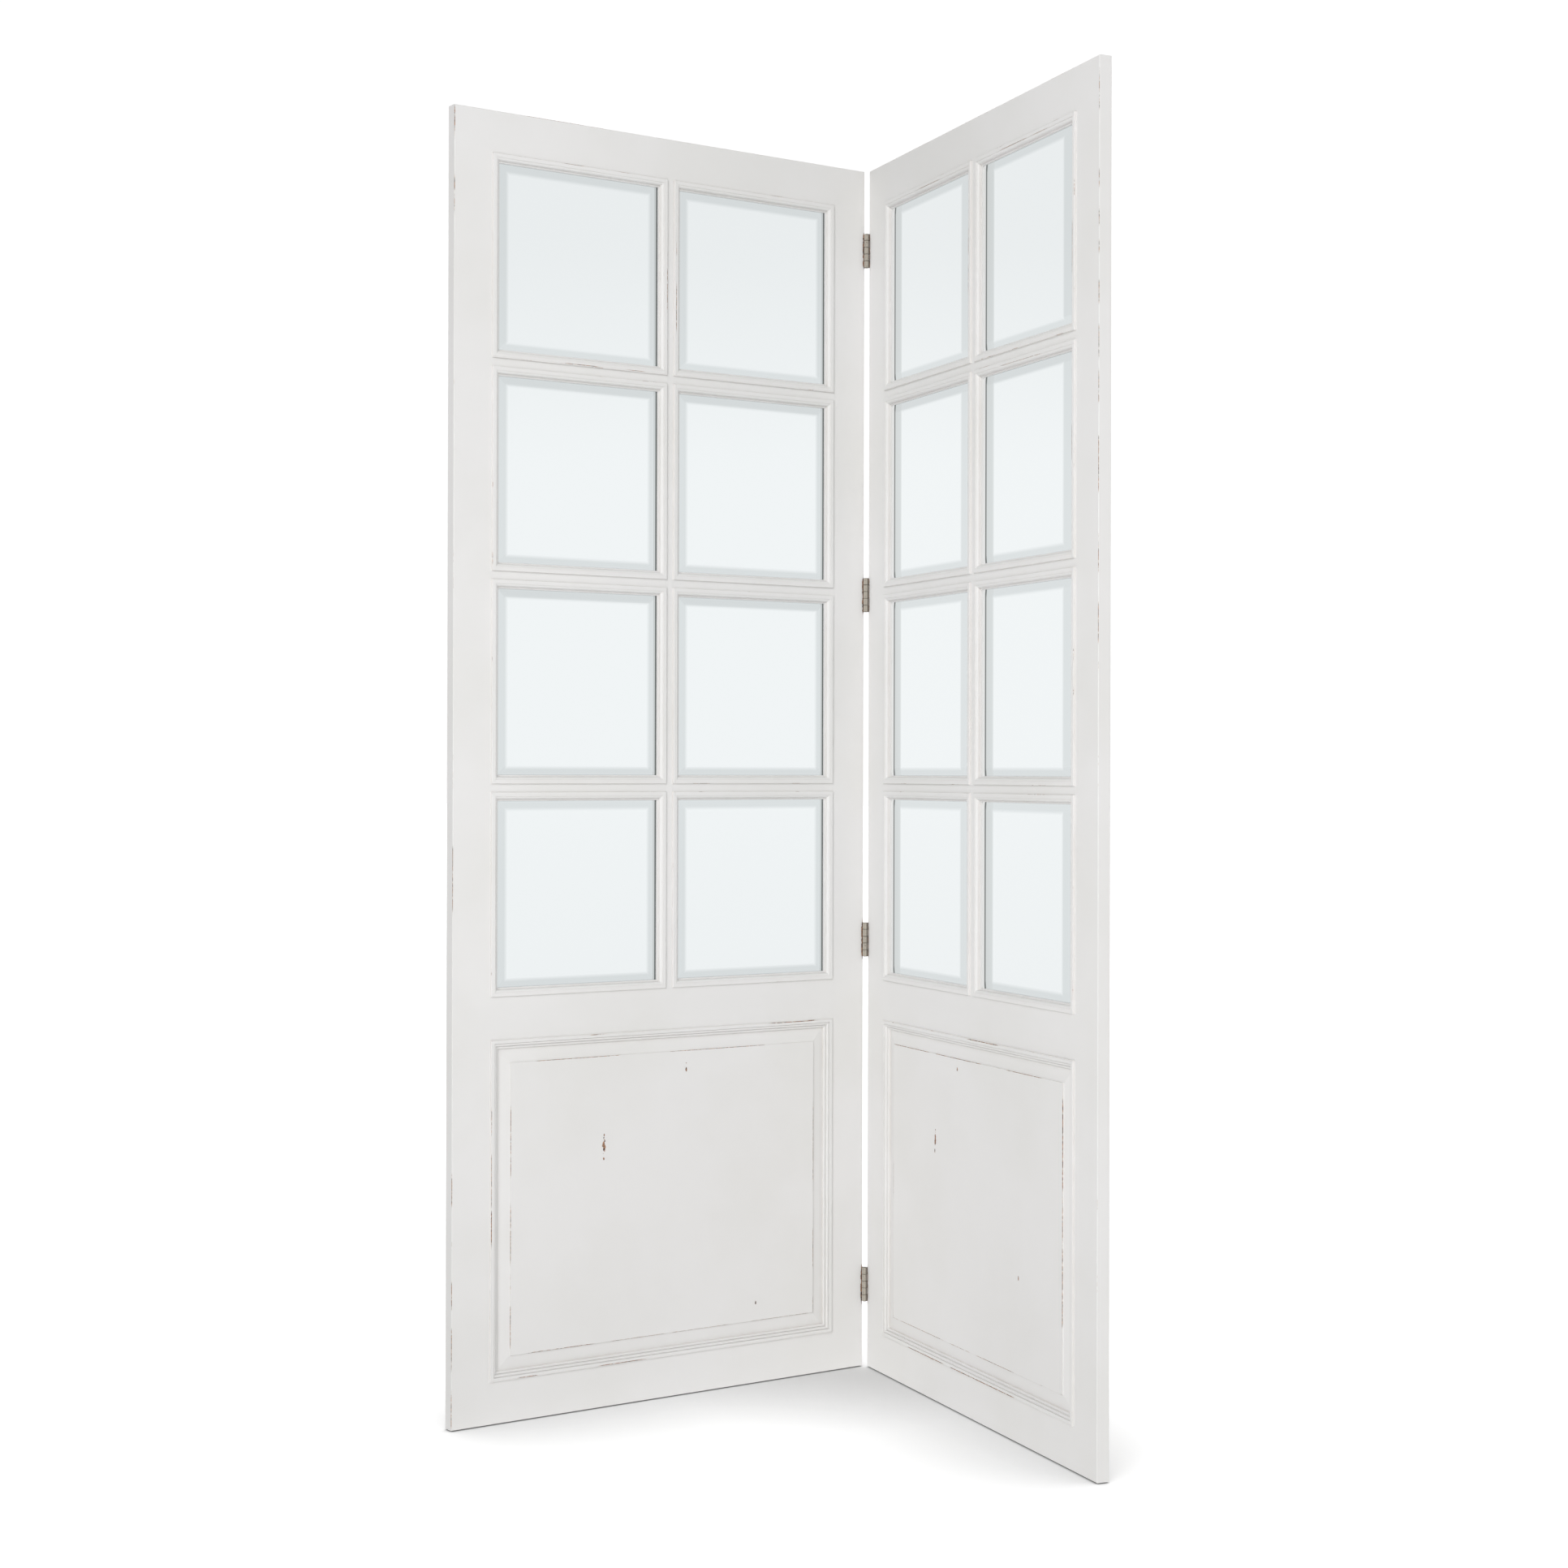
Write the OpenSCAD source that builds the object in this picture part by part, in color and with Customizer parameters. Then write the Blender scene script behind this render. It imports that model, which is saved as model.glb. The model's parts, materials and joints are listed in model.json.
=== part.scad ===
// Folding screen of two framed panels with bevelled mirror panes, hinged as a V.
// Panel space: x runs from the hinged edge outwards, y from the face backwards, z upwards.

/* [Screen] */
// Height of each panel
panel_h = 1800; // [1500:10:2000]
// Width of each panel
panel_w = 690; // [480:10:900]
// Thickness of each panel's frame
panel_t = 18; // [17:0.5:24]
// Angle between the mirrored faces as the screen stands
open_angle = 78.4; // [30:0.1:150]
// Radius of the sanded edges of each panel
arris_r = 1.2; // [0.5:0.1:2]

/* [Frame] */
// Face width of the stiles
stile_w = 58; // [45:1:90]
// Face height of the top rail
top_rail_h = 58; // [45:1:110]
// Face height of the middle rail
mid_rail_h = 59; // [45:1:110]
// Face height of the bottom rail
bottom_rail_h = 58; // [45:1:110]
// Height of the middle rail's underside above the floor
mid_rail_z = 526; // [350:1:800]
// Face width of the glazing bars
bar_w = 11.5; // [8:0.5:24]
// Length of the rail tenons
tenon_l = 25; // [12:1:34]
// Thickness of the rail tenons
tenon_t = 6; // [4:0.5:7]
// Length of the stub tenons on the glazing bars
stub_l = 6; // [3:0.5:8]

/* [Mirrors] */
// Depth of the mirror fronts behind the panel face
mirror_setback = 5.5; // [4:0.1:7]
// Thickness of the mirror glass
mirror_t = 4; // [3:0.5:4]
// Width of the bevel ground on the glass
bevel_w = 23; // [15:0.5:30]
// Depth of the bevel at the edge of the glass
bevel_drop = 1.8; // [1:0.1:2.2]
// Gap round each mirror in its opening
mirror_gap = 0.7; // [0.3:0.1:2]

/* [Mouldings] */
// Width of the mouldings round the mirrors
bead_w = 12; // [11:0.5:20]
// Height of all mouldings in front of the face
moulding_proud = 3.2; // [1.5:0.1:5]
// Flat outer band of the mouldings round the mirrors
bead_band_w = 5.6; // [3:0.1:6]
// Depth of the quirk between that band and the ovolo
bead_quirk = 0.8; // [0.4:0.1:1.2]
// Width of the fillet beside the glass
bead_fillet_w = 2.3; // [1:0.1:3]
// Height of that fillet in front of the mirror
bead_fillet_h = 2.1; // [1:0.1:3]
// Radius of the outer edge of the mouldings
bead_round_r = 0.9; // [0.4:0.1:1.5]
// Width of the moulding round the lower panel
reeded_w = 13; // [11:0.5:20]
// Flat outer band of that moulding
reeded_band_w = 5.2; // [1.5:0.1:7]
// Radius of each reed on the lower moulding
reed_r = 2; // [1.2:0.1:2.4]

/* [Lower panel] */
// Depth of the raised field behind the panel face
field_setback = 0.5; // [0.3:0.1:3]
// Height of the step round the raised field
field_step = 2; // [1:0.1:3]
// Width of the slope between the moulding and the field
slope_w = 19.5; // [10:0.5:40]
// Fall of the slope
slope_drop = 2.5; // [1.5:0.1:3]
// Thickness of the rim in the frame's groove
rim_t = 5.2; // [3:0.1:5.5]
// Depth of the groove in the frame
groove_depth = 8; // [4:0.5:10]

/* [Backing board] */
// Thickness of the board behind the mirrors
board_t = 4; // [3:0.5:5]
// Width of the rebate that takes the board
rebate_w = 10; // [8:0.5:12]
// Gap round the board in its rebate
board_gap = 0.5; // [0.3:0.1:2]

/* [Hinges] */
// Height of each hinge
hinge_h = 51; // [45:1:76]
// Height of the lowest hinge's middle above the floor
first_hinge_z = 123; // [80:1:300]
// Distance of the highest hinge's middle below the top of the panel
last_hinge_drop = 120; // [80:1:300]
// Diameter of the hinge pins
pin_d = 4.9; // [3:0.1:6]
// Thickness of the hinge metal
sheet_t = 1.3; // [0.8:0.1:1.6]
// Distance of the leaves' rear edge from the back of the panel
leaf_margin = 3; // [2:0.5:5]

/* [Screws] */
// Diameter of the screw shanks
screw_d = 2.6; // [2:0.1:3]
// Diameter of the screw heads
head_d = 5.4; // [5:0.1:6]
// Length of the hinge screws
hinge_screw_l = 16; // [10:1:20]
// Length of the board screws
board_screw_l = 9.5; // [8:0.5:10]

/* [Hidden] */
$fn = 48;

LEFT = -1;
RIGHT = 1;
PAINT = "#e4e3df";
GLASS = "#dce6e9";
METAL = "#a9a196";
BOARD = "#d9d6cd";

// Fits
joint_gap = 0.1;
running_gap = 0.05;
swing_gap = 0.2;
leaf_gap = 0.3;
fold_gap = 0.5;
mitre_gap = 0.1;
shoulder_gap = 2;
over = 1;

// Pane grid, counted from the floor and from the hinged edge
columns = 2;
rows = 4;
pane_z = mid_rail_z + mid_rail_h;
pane_area_w = panel_w - 2 * stile_w;
pane_area_h = panel_h - top_rail_h - pane_z;
pane_w = (pane_area_w - (columns - 1) * bar_w) / columns;
pane_h = (pane_area_h - (rows - 1) * bar_w) / rows;
function pane_left(column) = stile_w + column * (pane_w + bar_w);
function pane_bottom(row) = pane_z + row * (pane_h + bar_w);

// Depths behind the face
board_y = mirror_setback + mirror_t;
bevel_edge_y = mirror_setback + bevel_drop;
sight_share = (bead_w - mirror_gap) / bevel_w;
bead_back_y = mirror_setback + bevel_drop * max(0, 1 - sight_share) - joint_gap;
slope_top_y = field_setback + field_step;
rim_y = slope_top_y + slope_drop;
rim_back_y = rim_y + rim_t;
tenon_y = (panel_t - tenon_t) / 2;
stub_t = board_y / 2;
stub_y = board_y / 4;

// Lower panel
field_area_h = mid_rail_z - bottom_rail_h;
rim_hidden = groove_depth - 2 * joint_gap;

// Tenons stand clear of the grooves and rebates beside them
tenon_shoulder = max(rebate_w, groove_depth) + shoulder_gap;

// Hinge section, about the pin's axis
bore_r = pin_d / 2 + running_gap;
barrel_r = bore_r + sheet_t;
axis_edge = sheet_t + leaf_gap;
swing_r = barrel_r + swing_gap;
axis_face = max(moulding_proud + fold_gap, sqrt(swing_r * swing_r - axis_edge * axis_edge));
knuckles = 5;
knuckle_pitch = hinge_h / knuckles;
knuckle_gap = 0.2;
end_chamfer = 0.7;
hinge_count = 4;
hinge_pitch = (panel_h - first_hinge_z - last_hinge_drop) / (hinge_count - 1);
function hinge_z(number) = first_hinge_z + (number - 1) * hinge_pitch;
leaf_y = panel_t - leaf_margin;
leaf_screws = 3;
leaf_screw_inset = 8;
leaf_screw_pitch = (hinge_h - 2 * leaf_screw_inset) / (leaf_screws - 1);
leaf_screw_y = leaf_y / 2 + barrel_r / 4;
function leaf_screw_z(number) = leaf_screw_inset + (number - 1) * leaf_screw_pitch;

// Screw heads are flush in a right-angled countersink
head_r = head_d / 2;
head_l = head_r - screw_d / 2;
recess_w = 0.9;
recess_l = 3;
recess_deep = 1;

// The hinge axis lies so that the screen's outline is centred on the origin
half_angle = open_angle / 2;
reach_x = axis_edge + panel_w - arris_r;
front_y = -reach_x * cos(half_angle) + (axis_face + arris_r) * sin(half_angle) - arris_r;
rear_y = -(axis_edge + arris_r) * cos(half_angle)
    + (axis_face + panel_t - arris_r) * sin(half_angle) + arris_r;
axis_y = -(front_y + rear_y) / 2;

// Carries children from panel space to the standing screen
module stand(side) {
    translate([0, axis_y, 0])
        mirror([side == LEFT ? 1 : 0, 0, 0])
            rotate([0, 0, half_angle - 90])
                translate([axis_edge, axis_face, 0])
                    children();
}

// Turns an upright extrusion of an (across, depth) outline so that it runs along x, across upwards
module lay_along_x(length) {
    translate([length, 0, 0])
        rotate([0, -90, 0])
            linear_extrude(length)
                children();
}

// Rectangle with four rounded corners
module rounded_outline(width, depth, radius) {
    difference() {
        square([width, depth]);
        for (x = [0, width], y = [0, depth])
            difference() {
                translate([x - radius, y - radius])
                    square(2 * radius);
                translate([x == 0 ? radius : width - radius, y == 0 ? radius : depth - radius])
                    circle(radius);
            }
    }
}

// The whole panel as one sanded slab, which the frame members are cut from
module slab() {
    intersection() {
        linear_extrude(panel_h)
            rounded_outline(panel_w, panel_t, arris_r);
        lay_along_x(panel_w)
            rounded_outline(panel_h, panel_t, arris_r);
    }
}

// Part of the slab between two heights and two distances from the hinged edge
module member(x0, x1, z0, z1) {
    intersection() {
        slab();
        translate([x0, -over, z0])
            cube([x1 - x0, panel_t + 2 * over, z1 - z0]);
    }
}

// Space for the backing board, and the recess behind it
module board_recess() {
    translate([stile_w - rebate_w, board_y, pane_z - rebate_w])
        cube([pane_area_w + 2 * rebate_w, panel_t, pane_area_h + 2 * rebate_w]);
}

// Groove that takes the rim of the lower panel
module field_groove() {
    translate([stile_w - groove_depth, rim_y, bottom_rail_h - groove_depth])
        cube([
            pane_area_w + 2 * groove_depth,
            rim_t + joint_gap,
            field_area_h + 2 * groove_depth
        ]);
}

// Tenon across the whole panel between two rail edges, with the given gap round it
module tenon(z0, z1, gap) {
    translate([stile_w - tenon_l - gap, tenon_y - gap, z0 + tenon_shoulder - gap])
        cube([
            pane_area_w + 2 * (tenon_l + gap),
            tenon_t + 2 * gap,
            z1 - z0 - 2 * (tenon_shoulder - gap)
        ]);
}

// Stub tenons of the cross bars
module cross_stub(row, gap) {
    translate([stile_w - stub_l - gap, stub_y - gap, pane_bottom(row) - bar_w - gap])
        cube([pane_area_w + 2 * (stub_l + gap), stub_t + 2 * gap, bar_w + 2 * gap]);
}

// Stub tenons of the upright bar
module centre_stub(gap) {
    translate([pane_left(1) - bar_w - gap, stub_y - gap, pane_z - stub_l - gap])
        cube([bar_w + 2 * gap, stub_t + 2 * gap, pane_area_h + 2 * (stub_l + gap)]);
}

// Countersunk screw with a cross recess, its head at the origin and its point towards -z
module screw(length) {
    difference() {
        union() {
            translate([0, 0, -head_l])
                cylinder(h = head_l, r1 = screw_d / 2, r2 = head_r);
            translate([0, 0, -length + screw_d / 2])
                cylinder(h = length - head_l - screw_d / 2, r = screw_d / 2);
            translate([0, 0, -length])
                cylinder(h = screw_d / 2, r1 = screw_d / 8, r2 = screw_d / 2);
        }
        for (turn = [0, 90])
            rotate([0, 0, turn])
                translate([-recess_l / 2, -recess_w / 2, -recess_deep])
                    cube([recess_l, recess_w, recess_deep + over]);
    }
}

// Hole for a screw, its countersink at the origin
module screw_hole(length) {
    translate([0, 0, -length - running_gap])
        cylinder(h = length + over, r = screw_d / 2 + running_gap);
    translate([0, 0, -head_l - running_gap])
        cylinder(h = head_l + running_gap, r1 = screw_d / 2, r2 = head_r + running_gap);
}

// Board screws: beside each pane row on the stiles, and over each column on the rails
module at_board_screws() {
    inset = rebate_w / 2;
    for (row = [0 : rows - 1], x = [stile_w - inset, stile_w + pane_area_w + inset])
        translate([x, board_y + board_t, pane_bottom(row) + pane_h / 2])
            rotate([-90, 0, 0])
                children();
    for (column = [0 : columns - 1], z = [pane_z - inset, pane_z + pane_area_h + inset])
        translate([pane_left(column) + pane_w / 2, board_y + board_t, z])
            rotate([-90, 0, 0])
                children();
}

// Hinge screws: three to a leaf, driven into the hinged edge
module at_hinge_screws(hinges) {
    for (hinge = hinges, number = [1 : leaf_screws])
        translate([-sheet_t, leaf_screw_y, hinge_z(hinge) - hinge_h / 2 + leaf_screw_z(number)])
            rotate([0, -90, 0])
                children();
}

module stile_cuts() {
    board_recess();
    field_groove();
    tenon(0, bottom_rail_h, joint_gap);
    tenon(mid_rail_z, pane_z, joint_gap);
    tenon(panel_h - top_rail_h, panel_h, joint_gap);
    for (row = [1 : rows - 1])
        cross_stub(row, joint_gap);
    at_board_screws()
        screw_hole(board_screw_l);
}

module outer_stile(side) {
    color(PAINT)
        stand(side)
            difference() {
                member(panel_w - stile_w, panel_w + over, -over, panel_h + over);
                stile_cuts();
            }
}

module hinge_stile(side) {
    color(PAINT)
        stand(side)
            difference() {
                member(-over, stile_w, -over, panel_h + over);
                stile_cuts();
                at_hinge_screws([1 : hinge_count])
                    screw_hole(hinge_screw_l);
            }
}

module rail(z0, z1) {
    difference() {
        union() {
            member(stile_w, panel_w - stile_w, z0, z1);
            tenon(max(z0, 0), min(z1, panel_h), 0);
        }
        board_recess();
        field_groove();
        centre_stub(joint_gap);
        at_board_screws()
            screw_hole(board_screw_l);
    }
}

module top_rail(side) {
    color(PAINT)
        stand(side)
            rail(panel_h - top_rail_h, panel_h + over);
}

module mid_rail(side) {
    color(PAINT)
        stand(side)
            rail(mid_rail_z, pane_z);
}

module bottom_rail(side) {
    color(PAINT)
        stand(side)
            rail(-over, bottom_rail_h);
}

// Upright bar, halved from the back over the cross bars
module centre_bar(side) {
    bar_x = pane_left(1) - bar_w;
    color(PAINT)
        stand(side)
            difference() {
                union() {
                    translate([bar_x, 0, pane_z])
                        cube([bar_w, board_y, pane_area_h]);
                    centre_stub(0);
                }
                for (row = [1 : rows - 1])
                    translate([bar_x - over, board_y / 2, pane_bottom(row) - bar_w - joint_gap])
                        cube([bar_w + 2 * over, board_y, bar_w + 2 * joint_gap]);
            }
}

// Cross bar above pane row (row - 1), halved from the front under the upright bar
module cross_bar(side, row) {
    color(PAINT)
        stand(side)
            difference() {
                union() {
                    translate([stile_w, 0, pane_bottom(row) - bar_w])
                        cube([pane_area_w, board_y, bar_w]);
                    cross_stub(row, 0);
                }
                translate([pane_left(1) - bar_w - joint_gap, -over, pane_bottom(row) - bar_w - over])
                    cube([bar_w + 2 * joint_gap, board_y / 2 + over, bar_w + 2 * over]);
            }
}

// Section of a bevelled mirror, seen along one side
module mirror_section(length) {
    polygon([
        [0, board_y],
        [0, bevel_edge_y],
        [bevel_w, mirror_setback],
        [length - bevel_w, mirror_setback],
        [length, bevel_edge_y],
        [length, board_y]
    ]);
}

// Mirrors 1 to 8 are numbered from the bottom, the hinged column first in each row
module mirror_pane(side, number) {
    row = floor((number - 1) / columns);
    column = (number - 1) % columns;
    width = pane_w - 2 * mirror_gap;
    height = pane_h - 2 * mirror_gap;
    color(GLASS)
        stand(side)
            translate([pane_left(column) + mirror_gap, 0, pane_bottom(row) + mirror_gap])
                intersection() {
                    linear_extrude(height)
                        mirror_section(width);
                    lay_along_x(width)
                        mirror_section(height);
                }
}

// One moulding along x with mitred ends; its section is the child, outer side at z = 0
module mitred_strip(length, width) {
    reach = panel_t;
    start = mitre_gap / 2;
    end = length - start;
    intersection() {
        lay_along_x(length)
            children();
        translate([0, reach, 0])
            rotate([90, 0, 0])
                linear_extrude(2 * reach)
                    polygon([[start, 0], [end, 0], [end - width, width], [start + width, width]]);
    }
}

// Four mitred mouldings round an opening
module mitred_frame(opening_w, opening_h, width) {
    for (z = [0, opening_h])
        translate([0, 0, z])
            mirror([0, 0, z == 0 ? 0 : 1])
                mitred_strip(opening_w, width)
                    children();
    for (x = [0, opening_w])
        translate([x, 0, 0])
            mirror([x == 0 ? 0 : 1, 0, 0])
                mirror([1, 0, -1])
                    mitred_strip(opening_h, width)
                        children();
}

// Outer band of a moulding, from its front down to the given depth, with its outer edge rounded
module banded_square(width, back_y) {
    difference() {
        translate([0, -moulding_proud])
            square([width, back_y + moulding_proud]);
        difference() {
            translate([-over, -moulding_proud - over])
                square(bead_round_r + over);
            translate([bead_round_r, bead_round_r - moulding_proud])
                circle(bead_round_r);
        }
    }
}

// Moulding round a mirror: a flat band, a quirk, an ovolo and a fillet against the glass
module bead_section() {
    fillet_y = mirror_setback - bead_fillet_h;
    ovolo_x = bead_w - bead_fillet_w;
    ovolo_y = bead_quirk - moulding_proud;
    ovolo_r = min(ovolo_x - bead_band_w, fillet_y - ovolo_y - bead_quirk);
    banded_square(bead_band_w, bead_back_y);
    intersection() {
        translate([ovolo_x - ovolo_r, ovolo_y + ovolo_r])
            circle(ovolo_r);
        translate([0, ovolo_y])
            square([bead_w, ovolo_r]);
    }
    translate([0, ovolo_y + ovolo_r])
        square([ovolo_x, bead_back_y - ovolo_y - ovolo_r]);
    translate([0, fillet_y])
        square([bead_w, bead_back_y - fillet_y]);
}

module pane_mouldings(side) {
    color(PAINT)
        stand(side)
            for (row = [0 : rows - 1], column = [0 : columns - 1])
                translate([pane_left(column), 0, pane_bottom(row)])
                    mitred_frame(pane_w, pane_h, bead_w)
                        bead_section();
}

// Section of the raised and fielded panel, seen along one side
module field_section(length) {
    slope_x = rim_hidden + reeded_w;
    field_x = slope_x + slope_w;
    polygon([
        [0, rim_back_y],
        [0, rim_y],
        [slope_x, rim_y],
        [field_x, slope_top_y],
        [field_x, field_setback],
        [length - field_x, field_setback],
        [length - field_x, slope_top_y],
        [length - slope_x, rim_y],
        [length, rim_y],
        [length, rim_back_y]
    ]);
}

module field_panel(side) {
    width = pane_area_w + 2 * rim_hidden;
    height = field_area_h + 2 * rim_hidden;
    color(PAINT)
        stand(side)
            translate([stile_w - rim_hidden, 0, bottom_rail_h - rim_hidden])
                intersection() {
                    linear_extrude(height)
                        field_section(width);
                    lay_along_x(width)
                        field_section(height);
                }
}

// Moulding round the lower panel: a band and two reeds stepping down to the panel
module reeded_section() {
    reeds = 2;
    step = (reeded_w - reeded_band_w) / reeds;
    fall = (rim_y + moulding_proud - reed_r) / reeds;
    banded_square(reeded_band_w, rim_y);
    intersection() {
        for (reed = [0 : reeds - 1]) {
            centre_x = reeded_w - reed_r - reed * step;
            centre_y = rim_y - fall * (reed + 0.5);
            translate([centre_x, centre_y])
                circle(reed_r);
            translate([0, centre_y])
                square([centre_x + reed_r, rim_y - centre_y]);
        }
        translate([0, bead_round_r - moulding_proud])
            square([reeded_w, rim_y - bead_round_r + moulding_proud]);
    }
}

module field_moulding(side) {
    color(PAINT)
        stand(side)
            translate([stile_w, 0, bottom_rail_h])
                mitred_frame(pane_area_w, field_area_h, reeded_w)
                    reeded_section();
}

module back_board(side) {
    inset = rebate_w - board_gap;
    color(BOARD)
        stand(side)
            difference() {
                translate([stile_w - inset, board_y, pane_z - inset])
                    cube([pane_area_w + 2 * inset, board_t, pane_area_h + 2 * inset]);
                at_board_screws()
                    screw_hole(board_screw_l);
            }
}

module board_screws(side) {
    color(METAL)
        stand(side)
            at_board_screws()
                screw(board_screw_l);
}

module hinge_screws(side) {
    color(METAL)
        stand(side)
            at_hinge_screws([1 : hinge_count])
                screw(hinge_screw_l);
}

// Ring of one knuckle about the pin's axis; the outermost ones have a chamfered end
module knuckle(index) {
    z0 = (index - 1) * knuckle_pitch + (index == 1 ? 0 : knuckle_gap / 2);
    z1 = index * knuckle_pitch - (index == knuckles ? 0 : knuckle_gap / 2);
    low = index == 1 ? end_chamfer : 0;
    high = index == knuckles ? end_chamfer : 0;
    rotate_extrude()
        polygon([
            [bore_r, z0],
            [barrel_r - low, z0],
            [barrel_r, z0 + low],
            [barrel_r, z1 - high],
            [barrel_r - high, z1],
            [bore_r, z1]
        ]);
}

// Leaf with its plate on the hinged edge and the knuckles in the list
module leaf(side, number, own) {
    z0 = hinge_z(number) - hinge_h / 2;
    tab_y = (bore_r + barrel_r) / 2 - axis_face;
    plate_y = swing_r + swing_gap - axis_face;
    color(METAL)
        stand(side)
            difference() {
                union() {
                    translate([-sheet_t, plate_y, z0])
                        cube([sheet_t, leaf_y - plate_y, hinge_h]);
                    for (index = own) {
                        translate([-axis_edge, -axis_face, z0])
                            knuckle(index);
                        translate([-sheet_t, tab_y, z0 + (index - 1) * knuckle_pitch + knuckle_gap / 2])
                            cube([sheet_t, plate_y - tab_y + over, knuckle_pitch - knuckle_gap]);
                    }
                }
                at_hinge_screws([number])
                    screw_hole(hinge_screw_l);
            }
}

// Pin with domed ends, level with the ends of the barrel
module hinge_pin(number) {
    dome = 0.5;
    pin_r = pin_d / 2;
    half = hinge_h / 2;
    color(METAL)
        translate([0, axis_y, hinge_z(number)])
            rotate_extrude()
                polygon([[0, -half], [pin_r - dome, -half], [pin_r, dome - half],
                    [pin_r, half - dome], [pin_r - dome, half], [0, half]]);
}

outer_stile(LEFT);  // left_outer_stile
hinge_stile(LEFT);  // left_hinge_stile
top_rail(LEFT);  // left_top_rail
mid_rail(LEFT);  // left_mid_rail
bottom_rail(LEFT);  // left_bottom_rail
centre_bar(LEFT);  // left_centre_bar
cross_bar(LEFT, 1);  // left_cross_bar_1
cross_bar(LEFT, 2);  // left_cross_bar_2
cross_bar(LEFT, 3);  // left_cross_bar_3
mirror_pane(LEFT, 1);  // left_mirror_1
mirror_pane(LEFT, 2);  // left_mirror_2
mirror_pane(LEFT, 3);  // left_mirror_3
mirror_pane(LEFT, 4);  // left_mirror_4
mirror_pane(LEFT, 5);  // left_mirror_5
mirror_pane(LEFT, 6);  // left_mirror_6
mirror_pane(LEFT, 7);  // left_mirror_7
mirror_pane(LEFT, 8);  // left_mirror_8
pane_mouldings(LEFT);  // left_pane_mouldings
field_panel(LEFT);  // left_field_panel
field_moulding(LEFT);  // left_field_moulding
back_board(LEFT);  // left_back_board
board_screws(LEFT);  // left_board_screws
hinge_screws(LEFT);  // left_hinge_screws
outer_stile(RIGHT);  // right_outer_stile
hinge_stile(RIGHT);  // right_hinge_stile
top_rail(RIGHT);  // right_top_rail
mid_rail(RIGHT);  // right_mid_rail
bottom_rail(RIGHT);  // right_bottom_rail
centre_bar(RIGHT);  // right_centre_bar
cross_bar(RIGHT, 1);  // right_cross_bar_1
cross_bar(RIGHT, 2);  // right_cross_bar_2
cross_bar(RIGHT, 3);  // right_cross_bar_3
mirror_pane(RIGHT, 1);  // right_mirror_1
mirror_pane(RIGHT, 2);  // right_mirror_2
mirror_pane(RIGHT, 3);  // right_mirror_3
mirror_pane(RIGHT, 4);  // right_mirror_4
mirror_pane(RIGHT, 5);  // right_mirror_5
mirror_pane(RIGHT, 6);  // right_mirror_6
mirror_pane(RIGHT, 7);  // right_mirror_7
mirror_pane(RIGHT, 8);  // right_mirror_8
pane_mouldings(RIGHT);  // right_pane_mouldings
field_panel(RIGHT);  // right_field_panel
field_moulding(RIGHT);  // right_field_moulding
back_board(RIGHT);  // right_back_board
board_screws(RIGHT);  // right_board_screws
hinge_screws(RIGHT);  // right_hinge_screws
leaf(LEFT, 1, [2, 4]);  // hinge_1_left_leaf
leaf(RIGHT, 1, [1, 3, 5]);  // hinge_1_right_leaf
hinge_pin(1);  // hinge_1_pin
leaf(LEFT, 2, [2, 4]);  // hinge_2_left_leaf
leaf(RIGHT, 2, [1, 3, 5]);  // hinge_2_right_leaf
hinge_pin(2);  // hinge_2_pin
leaf(LEFT, 3, [2, 4]);  // hinge_3_left_leaf
leaf(RIGHT, 3, [1, 3, 5]);  // hinge_3_right_leaf
hinge_pin(3);  // hinge_3_pin
leaf(LEFT, 4, [2, 4]);  // hinge_4_left_leaf
leaf(RIGHT, 4, [1, 3, 5]);  // hinge_4_right_leaf
hinge_pin(4);  // hinge_4_pin
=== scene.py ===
"""Looks of a mirrored folding screen: two painted panels hinged as a V, with bevelled mirror panes."""

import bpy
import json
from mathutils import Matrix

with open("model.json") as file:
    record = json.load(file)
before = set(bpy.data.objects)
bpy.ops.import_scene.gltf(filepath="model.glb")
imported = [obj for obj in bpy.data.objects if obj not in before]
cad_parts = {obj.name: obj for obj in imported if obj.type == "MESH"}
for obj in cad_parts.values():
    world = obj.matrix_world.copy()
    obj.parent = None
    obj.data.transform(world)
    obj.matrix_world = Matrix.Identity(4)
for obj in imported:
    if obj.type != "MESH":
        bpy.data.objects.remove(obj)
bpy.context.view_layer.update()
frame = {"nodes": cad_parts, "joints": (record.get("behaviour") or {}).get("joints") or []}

import json
import logging
import math
from dataclasses import dataclass, field
from enum import Enum

import bpy
from mathutils import Matrix, Vector

log = logging.getLogger("screen")

MM = 0.001

Tree = bpy.types.NodeTree
Node = bpy.types.Node
Socket = bpy.types.NodeSocket
Colour = tuple[float, float, float, float]
Stretch = tuple[float, float, float]
Stop = tuple[float, float]
Tint = tuple[float, str]
TintStop = tuple[float, str, float]


class Side(Enum):
    """A panel of the screen, by the sign of its x in the room."""

    LEFT = -1
    RIGHT = 1

    @property
    def word(self) -> str:
        """The side as it stands at the front of a CAD node's name."""
        return self.name.lower()


class Grain(Enum):
    """The way in which a member was brushed, as stretch factors of the brush pattern."""

    UPRIGHT = (1.0, 1.0, 0.04)
    ACROSS = (0.04, 1.0, 1.0)
    BOTH_WAYS = (0.2, 0.2, 0.2)


class Part(Enum):
    """A group of painted pieces that wear in the same way."""

    FRAME = "frame"
    GLAZING = "glazing"
    LOWER = "lower"


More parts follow.
